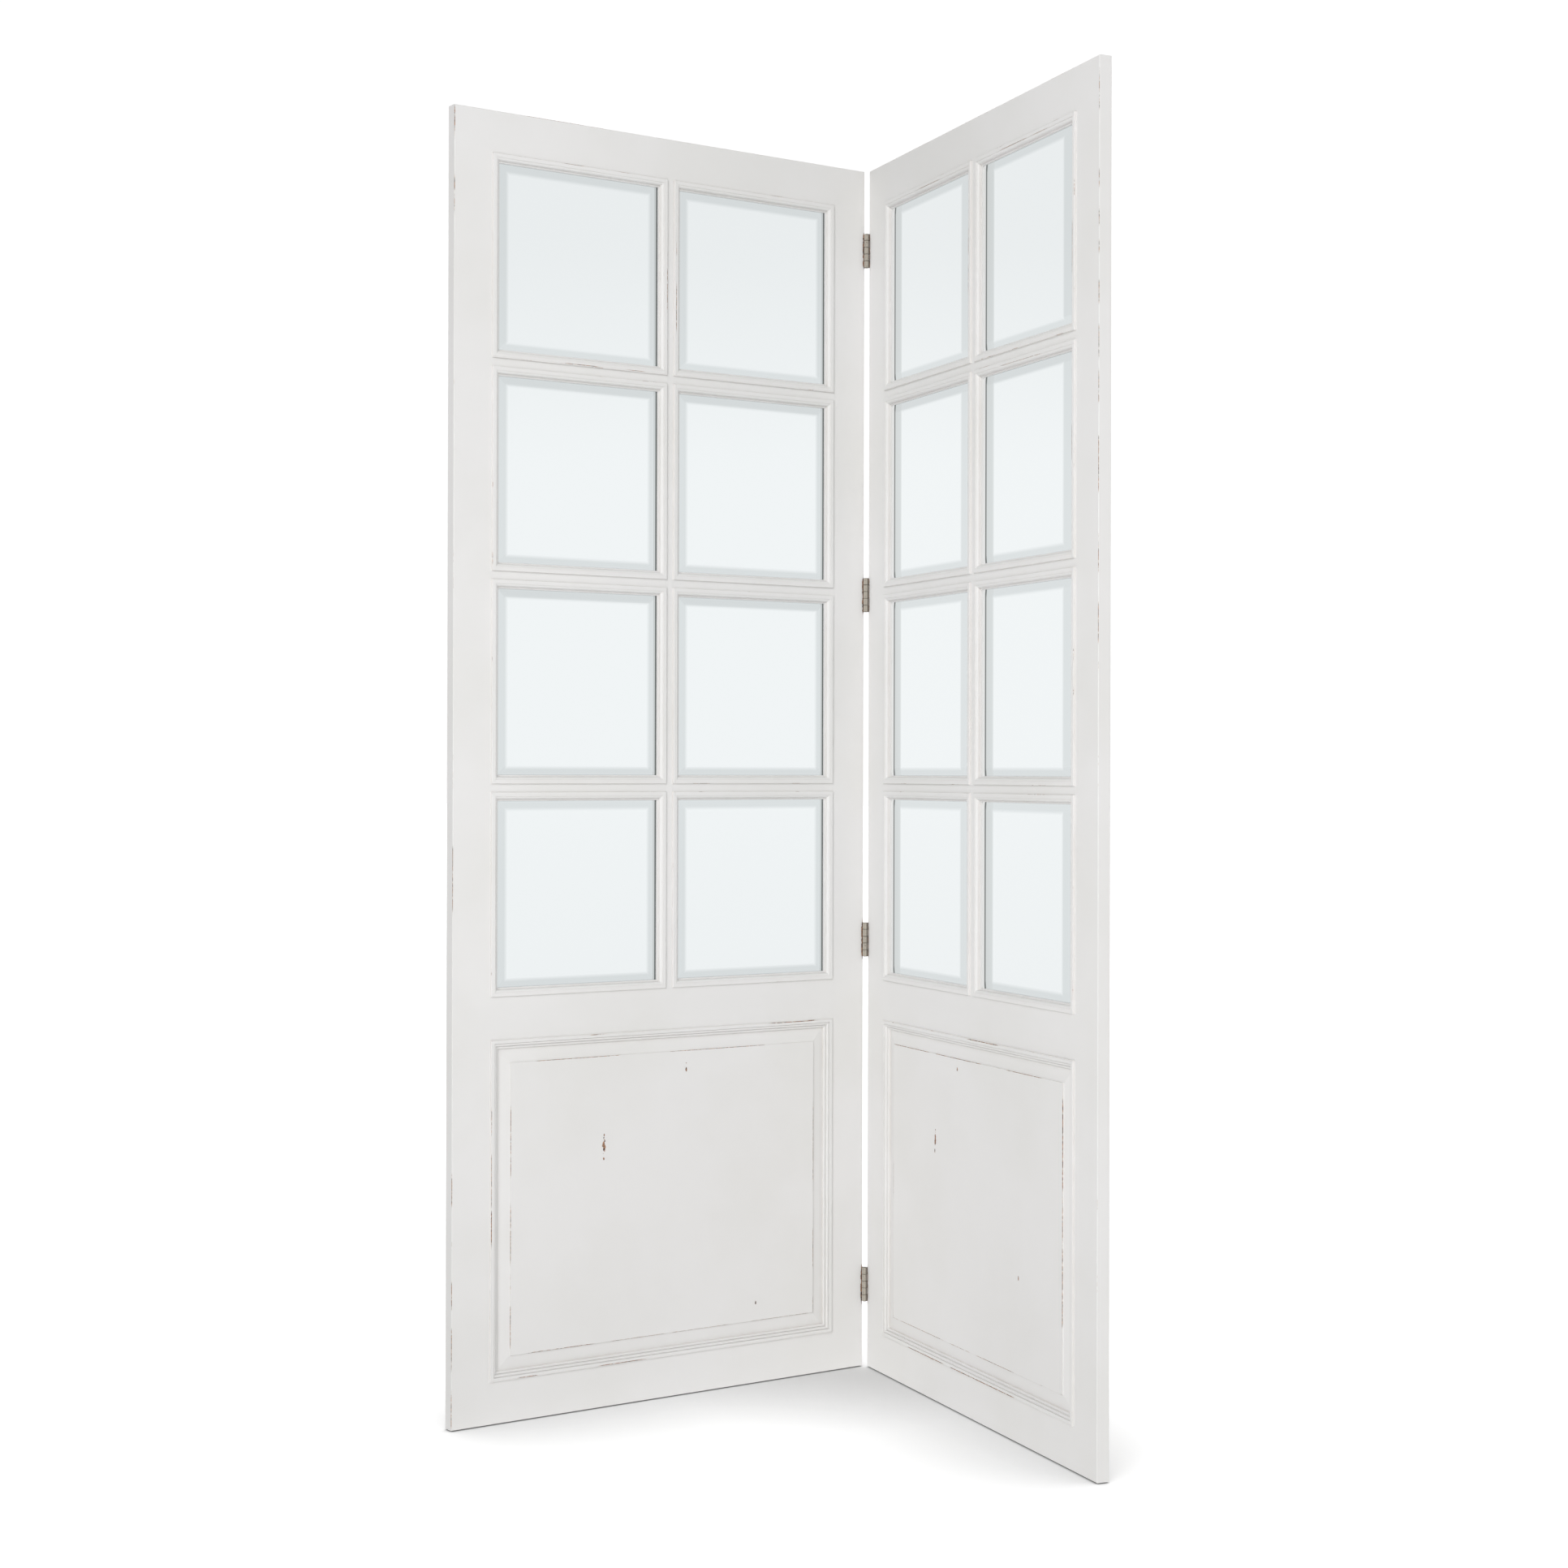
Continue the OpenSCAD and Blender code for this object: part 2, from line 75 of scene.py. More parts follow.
def linear(colour: str) -> Colour:
    """Turn an sRGB hex colour to a linear one.

    Args:
        colour: Six hex digits after a hash sign.

    Returns:
        Linear red, green, blue and a full alpha.
    """
    parts = [int(colour[i : i + 2], 16) / 255 for i in (1, 3, 5)]
    bent = [c / 12.92 if c <= 0.04045 else ((c + 0.055) / 1.055) ** 2.4 for c in parts]
    return bent[0], bent[1], bent[2], 1.0


def fill(tree: Tree, node: Node, inputs: dict) -> None:
    """Set or link the inputs of a node.

    Args:
        tree: The node tree.
        node: The node.
        inputs: Socket name or number, against a value, a hex colour, a socket, or a node whose first
            output is used.
    """
    for key, value in inputs.items():
        if isinstance(value, Node):
            value = value.outputs[0]
        if isinstance(value, Socket):
            tree.links.new(value, node.inputs[key])
        else:
            node.inputs[key].default_value = linear(value) if isinstance(value, str) else value


def add_node(tree: Tree, kind: str, inputs: dict | None = None, **settings) -> Node:
    """Add a node with its settings, values and links.

    Args:
        tree: The node tree.
        kind: The node's type name, without its "ShaderNode" start.
        inputs: What goes into its sockets, as `fill` takes it.
        **settings: Properties of the node.

    Returns:
        The new node.
    """
    node = tree.nodes.new("ShaderNode" + kind)
    for name, value in settings.items():
        setattr(node, name, value)
    fill(tree, node, inputs or {})
    return node


def place_stops(band: bpy.types.ColorRamp, stops: list[tuple[float, Colour]]) -> None:
    """Give a colour band its stops, the first of which lies at its start.

    Args:
        band: The colour band, as it is when new.
        stops: Place from 0 to 1 and colour of each stop.
    """
    band.elements.remove(band.elements[1])
    band.elements[0].color = stops[0][1]
    for place, colour in stops[1:]:
        band.elements.new(place).color = colour


def new_material(name: str) -> tuple[bpy.types.Material, Tree, Node]:
    """Make a material that holds one Principled shader.

    Args:
        name: The material's name.

    Returns:
        The material, its node tree and the shader.
    """
    material = bpy.data.materials.new(name)
    material.use_nodes = True
    material.node_tree.nodes.clear()
    shader = add_node(material.node_tree, "BsdfPrincipled")
    add_node(material.node_tree, "OutputMaterial", {"Surface": shader})
    return material, material.node_tree, shader


def dress(nodes: list[str], material: bpy.types.Material) -> None:
    """Give CAD nodes a finish.

    Args:
        nodes: Names of the CAD nodes.
        material: The finish.
    """
    for name in nodes:
        node = frame["nodes"][name]
        node.data.materials.clear()
        node.data.materials.append(material)
        log.info("%s: %s", name, material.name)


@dataclass(frozen=True)
class Outline:
    """A rectangle in a panel's face, in millimetres of panel space."""

    left: float
    right: float
    bottom: float
    top: float

    @property
    def centre(self) -> tuple[float, float, float]:
        """Middle of the rectangle."""
        return (self.left + self.right) / 2, 0.0, (self.bottom + self.top) / 2

    @property
    def half(self) -> tuple[float, float, float]:
        """Half of its width and height."""
        return (self.right - self.left) / 2, 0.0, (self.top - self.bottom) / 2

    def inset(self, width: float) -> "Outline":
        """The rectangle that lies inside by a width."""
        return Outline(self.left + width, self.right - width, self.bottom + width, self.top - width)


@dataclass(frozen=True)
class PanelSizes:
    """The sizes that both panels share, in millimetres."""

    height: float = 1800.0
    width: float = 690.0
    thickness: float = 18.0
    stile: float = 58.0
    pane_bottom: float = 585.0
    pane_width: float = 281.25
    pane_height: float = 280.625
    bar: float = 11.5
    columns: int = 2
    rows: int = 4
    bead: float = 12.0
    proud: float = 3.2
    lower_top: float = 526.0
    lower_bottom: float = 58.0
    reeded: float = 13.0
    slope: float = 19.5
    field_depth: float = 0.5

    @property
    def panel(self) -> Outline:
        """The whole panel."""
        return Outline(0.0, self.width, 0.0, self.height)

    @property
    def first_pane(self) -> Outline:
        """Opening of the lowest pane beside the hinges."""
        right, top = self.stile + self.pane_width, self.pane_bottom + self.pane_height
        return Outline(self.stile, right, self.pane_bottom, top)

    @property
    def lower(self) -> Outline:
        """Opening of the lower panel."""
        return Outline(self.stile, self.width - self.stile, self.lower_bottom, self.lower_top)

    @property
    def field(self) -> Outline:
        """Edge of the raised field of the lower panel."""
        return self.lower.inset(self.reeded + self.slope)


@dataclass(frozen=True)
class PanelSpace:
    """Carries points of the room into a panel: across from the hinges, back from the face, up."""

    side: Side
    sizes: PanelSizes
    axis_edge: float = 1.6
    axis_face: float = 3.7
    wrap_depth: float = 100.0

    @property
    def turn(self) -> float:
        """Angle that lays the panel along x, in radians."""
        fold = frame["joints"][0]
        return math.radians(90 + fold["range_deg"][0] / 2)

    def coordinates(self, tree: Tree) -> Node:
        """Add the nodes that give a surface point in millimetres of panel space.

        Args:
            tree: The node tree.

        Returns:
            The node whose output is the point.
        """
        hinge = Vector(frame["joints"][0]["pos_m"]) / MM
        turned = Matrix.Rotation(self.turn, 3, "Z") @ Vector((hinge.x * self.side.value, hinge.y, 0))
        offset = (-turned.x - self.axis_edge, -turned.y - self.axis_face, 0)
        scale = (self.side.value / MM, 1 / MM, 1 / MM)
        place = add_node(tree, "TexCoord")
        return add_node(tree, "Mapping", {
            "Vector": place.outputs["Object"],
            "Location": offset,
            "Rotation": (0, 0, self.turn),
            "Scale": scale,
        })

    def pane_coordinates(self, tree: Tree, point: Node) -> Node:
        """Add the node that folds all pane openings onto the first one.

        Args:
            tree: The node tree.
            point: Gives the point in panel space.

        Returns:
            The node whose output is the folded point.
        """
        pane, half_bar = self.sizes.first_pane, self.sizes.bar / 2
        low = (pane.left - half_bar, -self.wrap_depth, pane.bottom - half_bar)
        high = (pane.right + half_bar, self.wrap_depth, pane.top + half_bar)
        return add_node(tree, "VectorMath", {0: point, 1: high, 2: low}, operation="WRAP")

    def distance(self, tree: Tree, point: Node, outline: Outline) -> Node:
        """Add the nodes that give the distance outside an outline, below zero inside it.

        Args:
            tree: The node tree.
            point: Gives the point in panel space.
            outline: The rectangle.

        Returns:
            The node whose output is the distance in millimetres.
        """
        centred = add_node(tree, "VectorMath", {0: point, 1: outline.centre}, operation="SUBTRACT")
        folded = add_node(tree, "VectorMath", {0: centred}, operation="ABSOLUTE")
        outside = add_node(tree, "VectorMath", {0: folded, 1: outline.half}, operation="SUBTRACT")
        parts = add_node(tree, "SeparateXYZ", {0: outside})
        return add_node(tree, "Math", {0: parts.outputs["X"], 1: parts.outputs["Z"]}, operation="MAXIMUM")


@dataclass(frozen=True)
class Chip:
    """A spot where the paint is knocked off, in millimetres of panel space."""

    across: float
    up: float
    half_width: float
    half_height: float
    depth: float = 6.0


@dataclass(frozen=True)
class WornEdge:
    """A straight edge drawn in wood colour, in millimetres of panel space: paint rubbed through, and beside
    the hinge barrels painted shadow.

    An upright edge has its place across the panel, and a level one its height. Each stretch has a start, an
    end and the half width of the line.
    """

    upright: bool
    place: float
    depth: float
    stretches: tuple[Stretch, ...]


@dataclass(frozen=True)
class DistressedPaint:
    """Matt off-white chalk paint on brown wood, brushed on and rubbed through on the edges.

    The eye sees a warm white with faint clouds and brush lines. Thin brown lines break out along the
    arrises, and a few chips show the wood; the same wood colour beside the hinge barrels is painted shadow.
    A beige in the quirks of the mouldings is waxing and painted crease shade together.
    """

    space: PanelSpace
    part: Part
    grain: Grain
    chips: tuple[Chip, ...] = ()
    edges: tuple[WornEdge, ...] = ()
    white: str = "#e6e5e4"
    cloud: str = "#e3e2e0"
    cloud_size: float = 210.0
    # Painted crease shade is laid in with the waxing in this colour.
    wax: str = "#b3a498"
    wax_patch: float = 25.0
    wood: str = "#b0866a"
    stain: str = "#4c3a31"
    stain_size: float = 3.0
    roughness: float = 0.55
    bare_roughness: float = 0.85
    seed_middle: float = 9.1
    seed_step: float = 3.7
    worn_patch: float = 45.0
    patch_fade: float = 0.08
    ragged_size: float = 4.0
    line_half: float = 0.5
    frame_share: float = 0.55
    moulding_share: float = 0.58
    field_share: float = 0.56
    widest: float = 2.0
    taper: float = 2.5
    brush_size: float = 2.0
    brush_height: float = 0.2 * MM
    paint_height: float = 0.3 * MM

    def build(self) -> bpy.types.Material:
        """Make the finish.

        Returns:
            The material.
        """
        name = f"distressed_paint_{self.space.side.word}_{self.part.value}_{self.grain.name.lower()}"
        material, tree, shader = new_material(name)
        point = self.space.coordinates(tree)
        worn = self.worn(tree, point)
        wood = self.wood_colour(tree, point)
        paint = self.paint_colour(tree, point)
        colour = add_node(tree, "Mix", {0: worn, 6: paint.outputs[2], 7: wood.outputs[2]}, data_type="RGBA")
        rough = add_node(
            tree, "MapRange", {"Value": worn, "To Min": self.roughness, "To Max": self.bare_roughness}
        )
        relief = self.relief(tree, point, worn)
        fill(tree, shader, {"Base Color": colour.outputs[2], "Roughness": rough, "Normal": relief})
        return material

    def noise(self, tree: Tree, point: Node, size: float, **values: float) -> Node:
        """Add a noise pattern that differs between the two panels.

        Args:
            tree: The node tree.
            point: Gives the point in panel space.
            size: Size of its spots in millimetres.
            **values: Values of the node's other sockets.

        Returns:
            The node.
        """
        seed = {"W": self.seed_step * self.space.side.value + self.seed_middle}
        return add_node(
            tree, "TexNoise", {"Vector": point, "Scale": 1 / size} | seed | values, noise_dimensions="4D"
        )

    def line(self, tree: Tree, flat: Node, depth: float, point: Node) -> Socket:
        """Add the distance from the arris that lies on an outline at a depth.

        Args:
            tree: The node tree.
            flat: The node that gives the distance from the outline.
            depth: Depth of the arris behind the face.
            point: Gives the point in panel space.

        Returns:
            The distance in millimetres.
        """
        parts = add_node(tree, "SeparateXYZ", {0: point})
        below = add_node(tree, "Math", {0: parts.outputs["Y"], 1: depth}, operation="SUBTRACT")
        both = add_node(tree, "CombineXYZ", {0: flat, 1: below})
        return add_node(tree, "VectorMath", {0: both}, operation="LENGTH").outputs["Value"]

    def rubbed(self, tree: Tree, away: Socket, long: Node, fine: Node, share: float) -> Node:
        """Add a broken rubbed-through line along an edge.

        Args:
            tree: The node tree.
            away: The distance from the edge.
            long: Noise that breaks the line into stretches.
            fine: Noise that makes its edges ragged.
            share: Noise level above which the paint is rubbed off.

        Returns:
            The node whose output is 1 where the paint is gone.
        """
        reach = add_node(tree, "MapRange", {
            "Value": long,
            "From Min": share,
            "From Max": share + self.patch_fade,
            "To Max": self.line_half,
        })
        return self.bared(tree, reach.outputs[0], away, fine)

    def bared(self, tree: Tree, reach: Socket, away: Socket, fine: Node) -> Node:
        """Add the mask of a line in wood colour of a given half width, with ragged edges.

        Args:
            tree: The node tree.
            reach: The half width in millimetres.
            away: The distance from the edge.
            fine: Noise that makes the line's edges ragged.

        Returns:
            The node whose output is 1 inside the line.
        """
        ragged = add_node(
            tree, "MapRange", {"Value": fine, "From Min": 0.34, "From Max": 0.5, "To Min": 0.35}
        )
        edge = add_node(tree, "Math", {0: reach, 1: ragged}, operation="MULTIPLY")
        inside = add_node(tree, "Math", {0: edge, 1: away}, operation="SUBTRACT")
        return add_node(tree, "MapRange", {"Value": inside, "From Min": -0.12, "From Max": 0.12})

    def rubbed_edge(self, tree: Tree, point: Node, fine: Node, edge: WornEdge) -> Node:
        """Add the wood-coloured stretches of one straight edge: rubbed-through paint, and painted shadow
        beside the hinge barrels.

        Args:
            tree: The node tree.
            point: Gives the point in panel space.
            fine: Noise that makes the stretches ragged.
            edge: The edge and its stretches.

        Returns:
            The node whose output is 1 where the paint is gone.
        """
        kept = (1, 1, 0) if edge.upright else (0, 1, 1)
        place = (edge.place, edge.depth, 0) if edge.upright else (0, edge.depth, edge.place)
        flat = add_node(tree, "VectorMath", {0: point, 1: kept}, operation="MULTIPLY")
        away = add_node(tree, "VectorMath", {0: flat, 1: place}, operation="DISTANCE")
        parts = add_node(tree, "SeparateXYZ", {0: point})
        along = parts.outputs["Z" if edge.upright else "X"]
        length = self.space.sizes.height
        share = add_node(tree, "Math", {0: along, 1: 1 / length}, operation="MULTIPLY")
        ramp = add_node(tree, "ValToRGB", {"Fac": share})
        stops = [(0.0, (0.0, 0.0, 0.0, 1.0))]
        for start, end, half in edge.stretches:
            level = half / self.widest
            for where, value in (
                (start - self.taper, 0.0),
                (start + self.taper, level),
                (end - self.taper, level),
                (end + self.taper, 0.0),
            ):
                stops.append((min(max(where / length, 0.0), 1.0), (value, value, value, 1.0)))
        place_stops(ramp.color_ramp, stops)
        reach = add_node(tree, "Math", {0: ramp.outputs["Color"], 1: self.widest}, operation="MULTIPLY")
        return self.bared(tree, reach.outputs[0], away.outputs["Value"], fine)

    def worn(self, tree: Tree, point: Node) -> Node:
        """Add the mask of all places drawn in wood colour: rubbed-through paint, chips, and painted shadow
        beside the hinge barrels.

        Args:
            tree: The node tree.
            point: Gives the point in panel space.

        Returns:
            The node whose output is 1 where the wood shows.
        """
        long = self.noise(tree, point, self.worn_patch, Detail=2.0)
        fine = self.noise(tree, point, self.ragged_size, Detail=2.0)
        lines = [self.rubbed(tree, away, long, fine, share) for away, share in self.arrises(tree, point)]
        lines += [self.rubbed_edge(tree, point, fine, edge) for edge in self.edges]
        lines += [self.chipped(tree, point, fine, chip) for chip in self.chips]
        total = lines[0]
        for other in lines[1:]:
            total = add_node(tree, "Math", {0: total, 1: other}, operation="MAXIMUM")
        return total

    def arrises(self, tree: Tree, point: Node) -> list[tuple[Socket, float]]:
        """Add the distances from the arrises of this part that wear all along.

        Args:
            tree: The node tree.
            point: Gives the point in panel space.

        Returns:
            Each distance, with the noise level above which that arris is bare.
        """
        sizes, space = self.space.sizes, self.space
        if self.part is Part.FRAME:
            outer = space.distance(tree, point, sizes.panel)
            half = sizes.thickness / 2
            parts = add_node(tree, "SeparateXYZ", {0: point})
            middle = add_node(tree, "Math", {0: parts.outputs["Y"], 1: half}, operation="SUBTRACT")
            from_middle = add_node(tree, "Math", {0: middle}, operation="ABSOLUTE")
            from_face = add_node(tree, "Math", {0: from_middle, 1: half}, operation="SUBTRACT")
            corner = add_node(tree, "CombineXYZ", {0: outer, 1: from_face})
            away = add_node(tree, "VectorMath", {0: corner}, operation="LENGTH")
            return [(away.outputs["Value"], self.frame_share)]
        if self.part is Part.GLAZING:
            pane = space.distance(tree, space.pane_coordinates(tree, point), sizes.first_pane)
            return [(self.line(tree, pane, -sizes.proud, point), self.moulding_share)]
        lower = space.distance(tree, point, sizes.lower)
        raised = space.distance(tree, point, sizes.field)
        return [
            (self.line(tree, lower, -sizes.proud, point), self.moulding_share),
            (self.line(tree, raised, sizes.field_depth, point), self.field_share),
        ]

    def chipped(self, tree: Tree, point: Node, fine: Node, chip: Chip) -> Node:
        """Add one chip with a ragged edge.

        Args:
            tree: The node tree.
            point: Gives the point in panel space.
            fine: Noise that makes the chip's edge ragged.
            chip: Place and size of the chip.

        Returns:
            The node whose output is 1 inside the chip.
        """
        middle = (chip.across, 0, chip.up)
        centred = add_node(tree, "VectorMath", {0: point, 1: middle}, operation="SUBTRACT")
        scale = (1 / chip.half_width, 1 / chip.depth, 1 / chip.half_height)
        scaled = add_node(tree, "VectorMath", {0: centred, 1: scale}, operation="MULTIPLY")
        away = add_node(tree, "VectorMath", {0: scaled}, operation="LENGTH")
        ragged = add_node(tree, "MapRange", {
            "Value": fine, "From Min": 0.3, "From Max": 0.7, "To Min": 0.45, "To Max": 1.4,
        })
        inside = add_node(tree, "Math", {0: ragged, 1: away.outputs["Value"]}, operation="SUBTRACT")
        return add_node(tree, "MapRange", {"Value": inside, "From Min": -0.1, "From Max": 0.1})

    def wood_colour(self, tree: Tree, point: Node) -> Node:
        """Add the colour of the bare wood, darker in streaks.

        Args:
            tree: The node tree.
            point: Gives the point in panel space.

        Returns:
            The colour mix.
        """
        streak = self.noise(tree, point, self.stain_size, Detail=2.0)
        share = add_node(tree, "MapRange", {"Value": streak, "From Min": 0.38, "From Max": 0.6})
        return add_node(tree, "Mix", {0: share, 6: self.stain, 7: self.wood}, data_type="RGBA")

    def paint_colour(self, tree: Tree, point: Node) -> Node:
        """Add the colour of the paint with its clouds, and the beige in the creases of the mouldings: waxing
        and painted crease shade.

        Args:
            tree: The node tree.
            point: Gives the point in panel space.

        Returns:
            The colour mix.
        """
        sizes, space = self.space.sizes, self.space
        clouds = self.noise(tree, point, self.cloud_size, Detail=3.0)
        share = add_node(tree, "MapRange", {"Value": clouds, "From Min": 0.42, "From Max": 0.62})
        cloudy = add_node(tree, "Mix", {0: share, 6: self.white, 7: self.cloud}, data_type="RGBA")
        if self.part is Part.FRAME:
            return cloudy
        if self.part is Part.GLAZING:
            pane = space.distance(tree, space.pane_coordinates(tree, point), sizes.first_pane)
            wax = self.waxed(tree, pane, BEAD_WAX_AND_SHADE)
        else:
            wax = self.waxed(tree, space.distance(tree, point, sizes.lower), REED_WAX_AND_SHADE)
        streaks = self.noise(tree, point, self.wax_patch, Detail=2.0)
        patchy = add_node(
            tree, "MapRange", {"Value": streaks, "From Min": 0.35, "From Max": 0.65, "To Min": 0.5}
        )
        left = add_node(tree, "Math", {0: wax, 1: patchy}, operation="MULTIPLY")
        return add_node(tree, "Mix", {0: left, 6: cloudy.outputs[2], 7: self.wax}, data_type="RGBA")

    def waxed(self, tree: Tree, outside: Node, stops: tuple[Stop, ...]) -> Socket:
        """Add the beige that lies in the creases round an opening: waxing and painted crease shade.

        Args:
            tree: The node tree.
            outside: The node that gives the distance outside the opening.
            stops: Distance inside the opening in millimetres, and the share of waxing and painted shade
                there.

        Returns:
            The share of waxing and painted shade.
        """
        low, high = stops[0][0], stops[-1][0]
        inside = add_node(tree, "MapRange", {"Value": outside, "From Min": -low, "From Max": -high})
        ramp = add_node(tree, "ValToRGB", {"Fac": inside})
        span = high - low
        place_stops(
            ramp.color_ramp, [((where - low) / span, (value, value, value, 1.0)) for where, value in stops]
        )
        return ramp.outputs["Color"]

    def relief(self, tree: Tree, point: Node, worn: Node) -> Node:
        """Add the brush lines, and the step down at the places drawn in wood colour.

        Brush lines are about 0.4 mm apart on the real paint and drawn 2 mm apart, so that they show.

        Args:
            tree: The node tree.
            point: Gives the point in panel space.
            worn: The mask of the places drawn in wood colour.

        Returns:
            The bump node.
        """
        along = add_node(tree, "VectorMath", {0: point, 1: self.grain.value}, operation="MULTIPLY")
        brush = self.noise(tree, along, self.brush_size, Detail=2.0)
        strokes = add_node(tree, "Bump", {"Height": brush, "Strength": 0.12, "Distance": self.brush_height})
        return add_node(tree, "Bump", {
            "Height": worn, "Strength": 0.6, "Distance": self.paint_height, "Normal": strokes,
        }, invert=True)


@dataclass(frozen=True)
class SilveredGlass:
    """Bevelled mirror glass, silvered on the back.

    The eye sees a pale cool sheen. A greyer band over the bevelled rim is painted shade, a thin line of
    painted shadow runs along the foot of the mouldings, and upright painted lines stand beside the
    mouldings: a dark one near the hinge side, painted shade where the edge of the glass would show, and
    lighter ones, painted reflections of the moulding walls.
    """

    space: PanelSpace
    band_sides: float
    # Stops of the upright lines of painted shade and painted reflection beside the mouldings.
    edge_stops: tuple[TintStop, ...]
    band_bottom: float = 22.0
    band_top: float = 24.0
    band_blur: float = 3.4
    pane: str = "#f1f5f6"
    # Painted shade: the band over the bevelled rim is drawn greyer than the pane.
    bevel: str = "#dce1e2"
    # The edge colour paints the shadow line along the foot of the mouldings.
    edge: str = "#6a6e6d"
    contact_width: float = 0.9
    contact_core: float = 0.3
    contact_share: float = 0.3
    roughness: float = 0.06

    def build(self) -> bpy.types.Material:
        """Make the finish.

        Returns:
            The material.
        """
        material, tree, shader = new_material(f"silvered_glass_{self.space.side.word}")
        folded = self.space.pane_coordinates(tree, self.space.coordinates(tree))
        touched = self.touched(tree, folded, self.ground(tree, folded))
        lined = self.lined(tree, folded, touched)
        fill(tree, shader, {"Base Color": lined.outputs[2], "Metallic": 1.0, "Roughness": self.roughness})
        return material

    def ground(self, tree: Tree, folded: Node) -> Node:
        """Add the colour of the glass with a band of painted shade over its bevelled rim.

        Args:
            tree: The node tree.
            folded: Gives the point in the first pane.

        Returns:
            The colour mix.
        """
        pane = self.space.sizes.first_pane
        flat = Outline(
            pane.left + self.band_sides,
            pane.right - self.band_sides,
            pane.bottom + self.band_bottom,
            pane.top - self.band_top,
        )
        outside = self.space.distance(tree, folded, flat)
        share = add_node(tree, "MapRange", {
            "Value": outside, "From Min": -self.band_blur, "From Max": self.band_blur,
        }, interpolation_type="SMOOTHSTEP")
        return add_node(tree, "Mix", {0: share, 6: self.pane, 7: self.bevel}, data_type="RGBA")

    def touched(self, tree: Tree, folded: Node, colour: Node) -> Node:
        """Paint a shadow on the glass along the foot of the mouldings.

        Args:
            tree: The node tree.
            folded: Gives the point in the first pane.
            colour: The colour mix of the glass.

        Returns:
            The colour mix.
        """
        bead = self.space.sizes.bead
        rim = self.space.distance(tree, folded, self.space.sizes.first_pane)
        contact_shadow = add_node(tree, "MapRange", {
            "Value": rim,
            "From Min": -bead - self.contact_width,
            "From Max": -bead - self.contact_width * self.contact_core,
            "To Max": self.contact_share,
        })
        return add_node(tree, "Mix", {0: contact_shadow, 6: colour.outputs[2], 7: self.edge}, data_type="RGBA")

    def lined(self, tree: Tree, folded: Node, colour: Node) -> Node:
        """Lay upright painted lines beside the mouldings over the glass: painted shade where its edge would
        show, and painted reflections of the moulding walls.

        Args:
            tree: The node tree.
            folded: Gives the point in the first pane.
            colour: The colour mix of the glass.

        Returns:
            The colour mix.
        """
        start = self.space.sizes.first_pane.left
        across = add_node(tree, "SeparateXYZ", {0: folded})
        low, high = self.edge_stops[0][0], self.edge_stops[-1][0]
        share = add_node(tree, "MapRange", {
            "Value": across.outputs["X"], "From Min": start + low, "From Max": start + high,
        })
        ramp = add_node(tree, "ValToRGB", {"Fac": share})
        span = high - low
        place_stops(
            ramp.color_ramp,
            [((where - low) / span, (*linear(tint)[:3], cover)) for where, tint, cover in self.edge_stops],
        )
        return add_node(tree, "Mix", {
            0: ramp.outputs["Alpha"], 6: colour.outputs[2], 7: ramp.outputs["Color"],
        }, data_type="RGBA")


@dataclass(frozen=True)
class PaintedHardboard:
    """Pressed hardboard behind the mirrors, with one thin coat of the same off-white.

    The eye sees a flat, slightly warmer and duller white, with the fibres of the board showing through.
    """

    name: str = "painted_hardboard"
    coat: str = "#e3e1dc"
    fibre: str = "#d8d5cb"
    fibre_size: float = 3 * MM
    relief: float = 0.2 * MM
    roughness: float = 0.8

    def build(self) -> bpy.types.Material:
        """Make the finish.

        Returns:
            The material.
        """
        material, tree, shader = new_material(self.name)
        place = add_node(tree, "TexCoord")
        fibres = add_node(tree, "TexNoise", {
            "Vector": place.outputs["Object"], "Scale": 1 / self.fibre_size, "Detail": 4.0,
        })
        share = add_node(tree, "MapRange", {"Value": fibres, "From Min": 0.45, "From Max": 0.75})
        colour = add_node(tree, "Mix", {0: share, 6: self.coat, 7: self.fibre}, data_type="RGBA")
        bump = add_node(tree, "Bump", {"Height": fibres, "Strength": 0.2, "Distance": self.relief})
        fill(tree, shader, {"Base Color": colour.outputs[2], "Normal": bump, "Roughness": self.roughness})
        return material


@dataclass(frozen=True)
class BrushedMetal:
    """Plated steel of the screws, with fine upright lines and a slight tarnish.

    The eye sees a cool grey sheen, duller in spots.
    """

    name: str
    bright: str
    tarnish: str
    roughness: float
    line_size: float = 0.6 * MM
    spot_size: float = 4 * MM
    sheen_change: float = 0.1
    drawn_out: float = 0.08

    def build(self) -> bpy.types.Material:
        """Make the finish.

        Returns:
            The material.
        """
        material, tree, shader = new_material(self.name)
        place = add_node(tree, "TexCoord")
        drawn = add_node(
            tree, "Mapping", {"Vector": place.outputs["Object"], "Scale": (1.0, 1.0, self.drawn_out)}
        )
        lines = add_node(tree, "TexNoise", {"Vector": drawn, "Scale": 1 / self.line_size, "Detail": 2.0})
        spots = add_node(tree, "TexNoise", {
            "Vector": place.outputs["Object"], "Scale": 1 / self.spot_size, "Detail": 3.0,
        })
        share = add_node(tree, "MapRange", {"Value": spots, "From Min": 0.45, "From Max": 0.7})
        colour = add_node(tree, "Mix", {0: share, 6: self.bright, 7: self.tarnish}, data_type="RGBA")
        rough = add_node(tree, "MapRange", {
            "Value": lines,
            "To Min": self.roughness - self.sheen_change,
            "To Max": self.roughness + self.sheen_change,
        })
        fill(tree, shader, {"Base Color": colour.outputs[2], "Metallic": 1.0, "Roughness": rough})
        return material


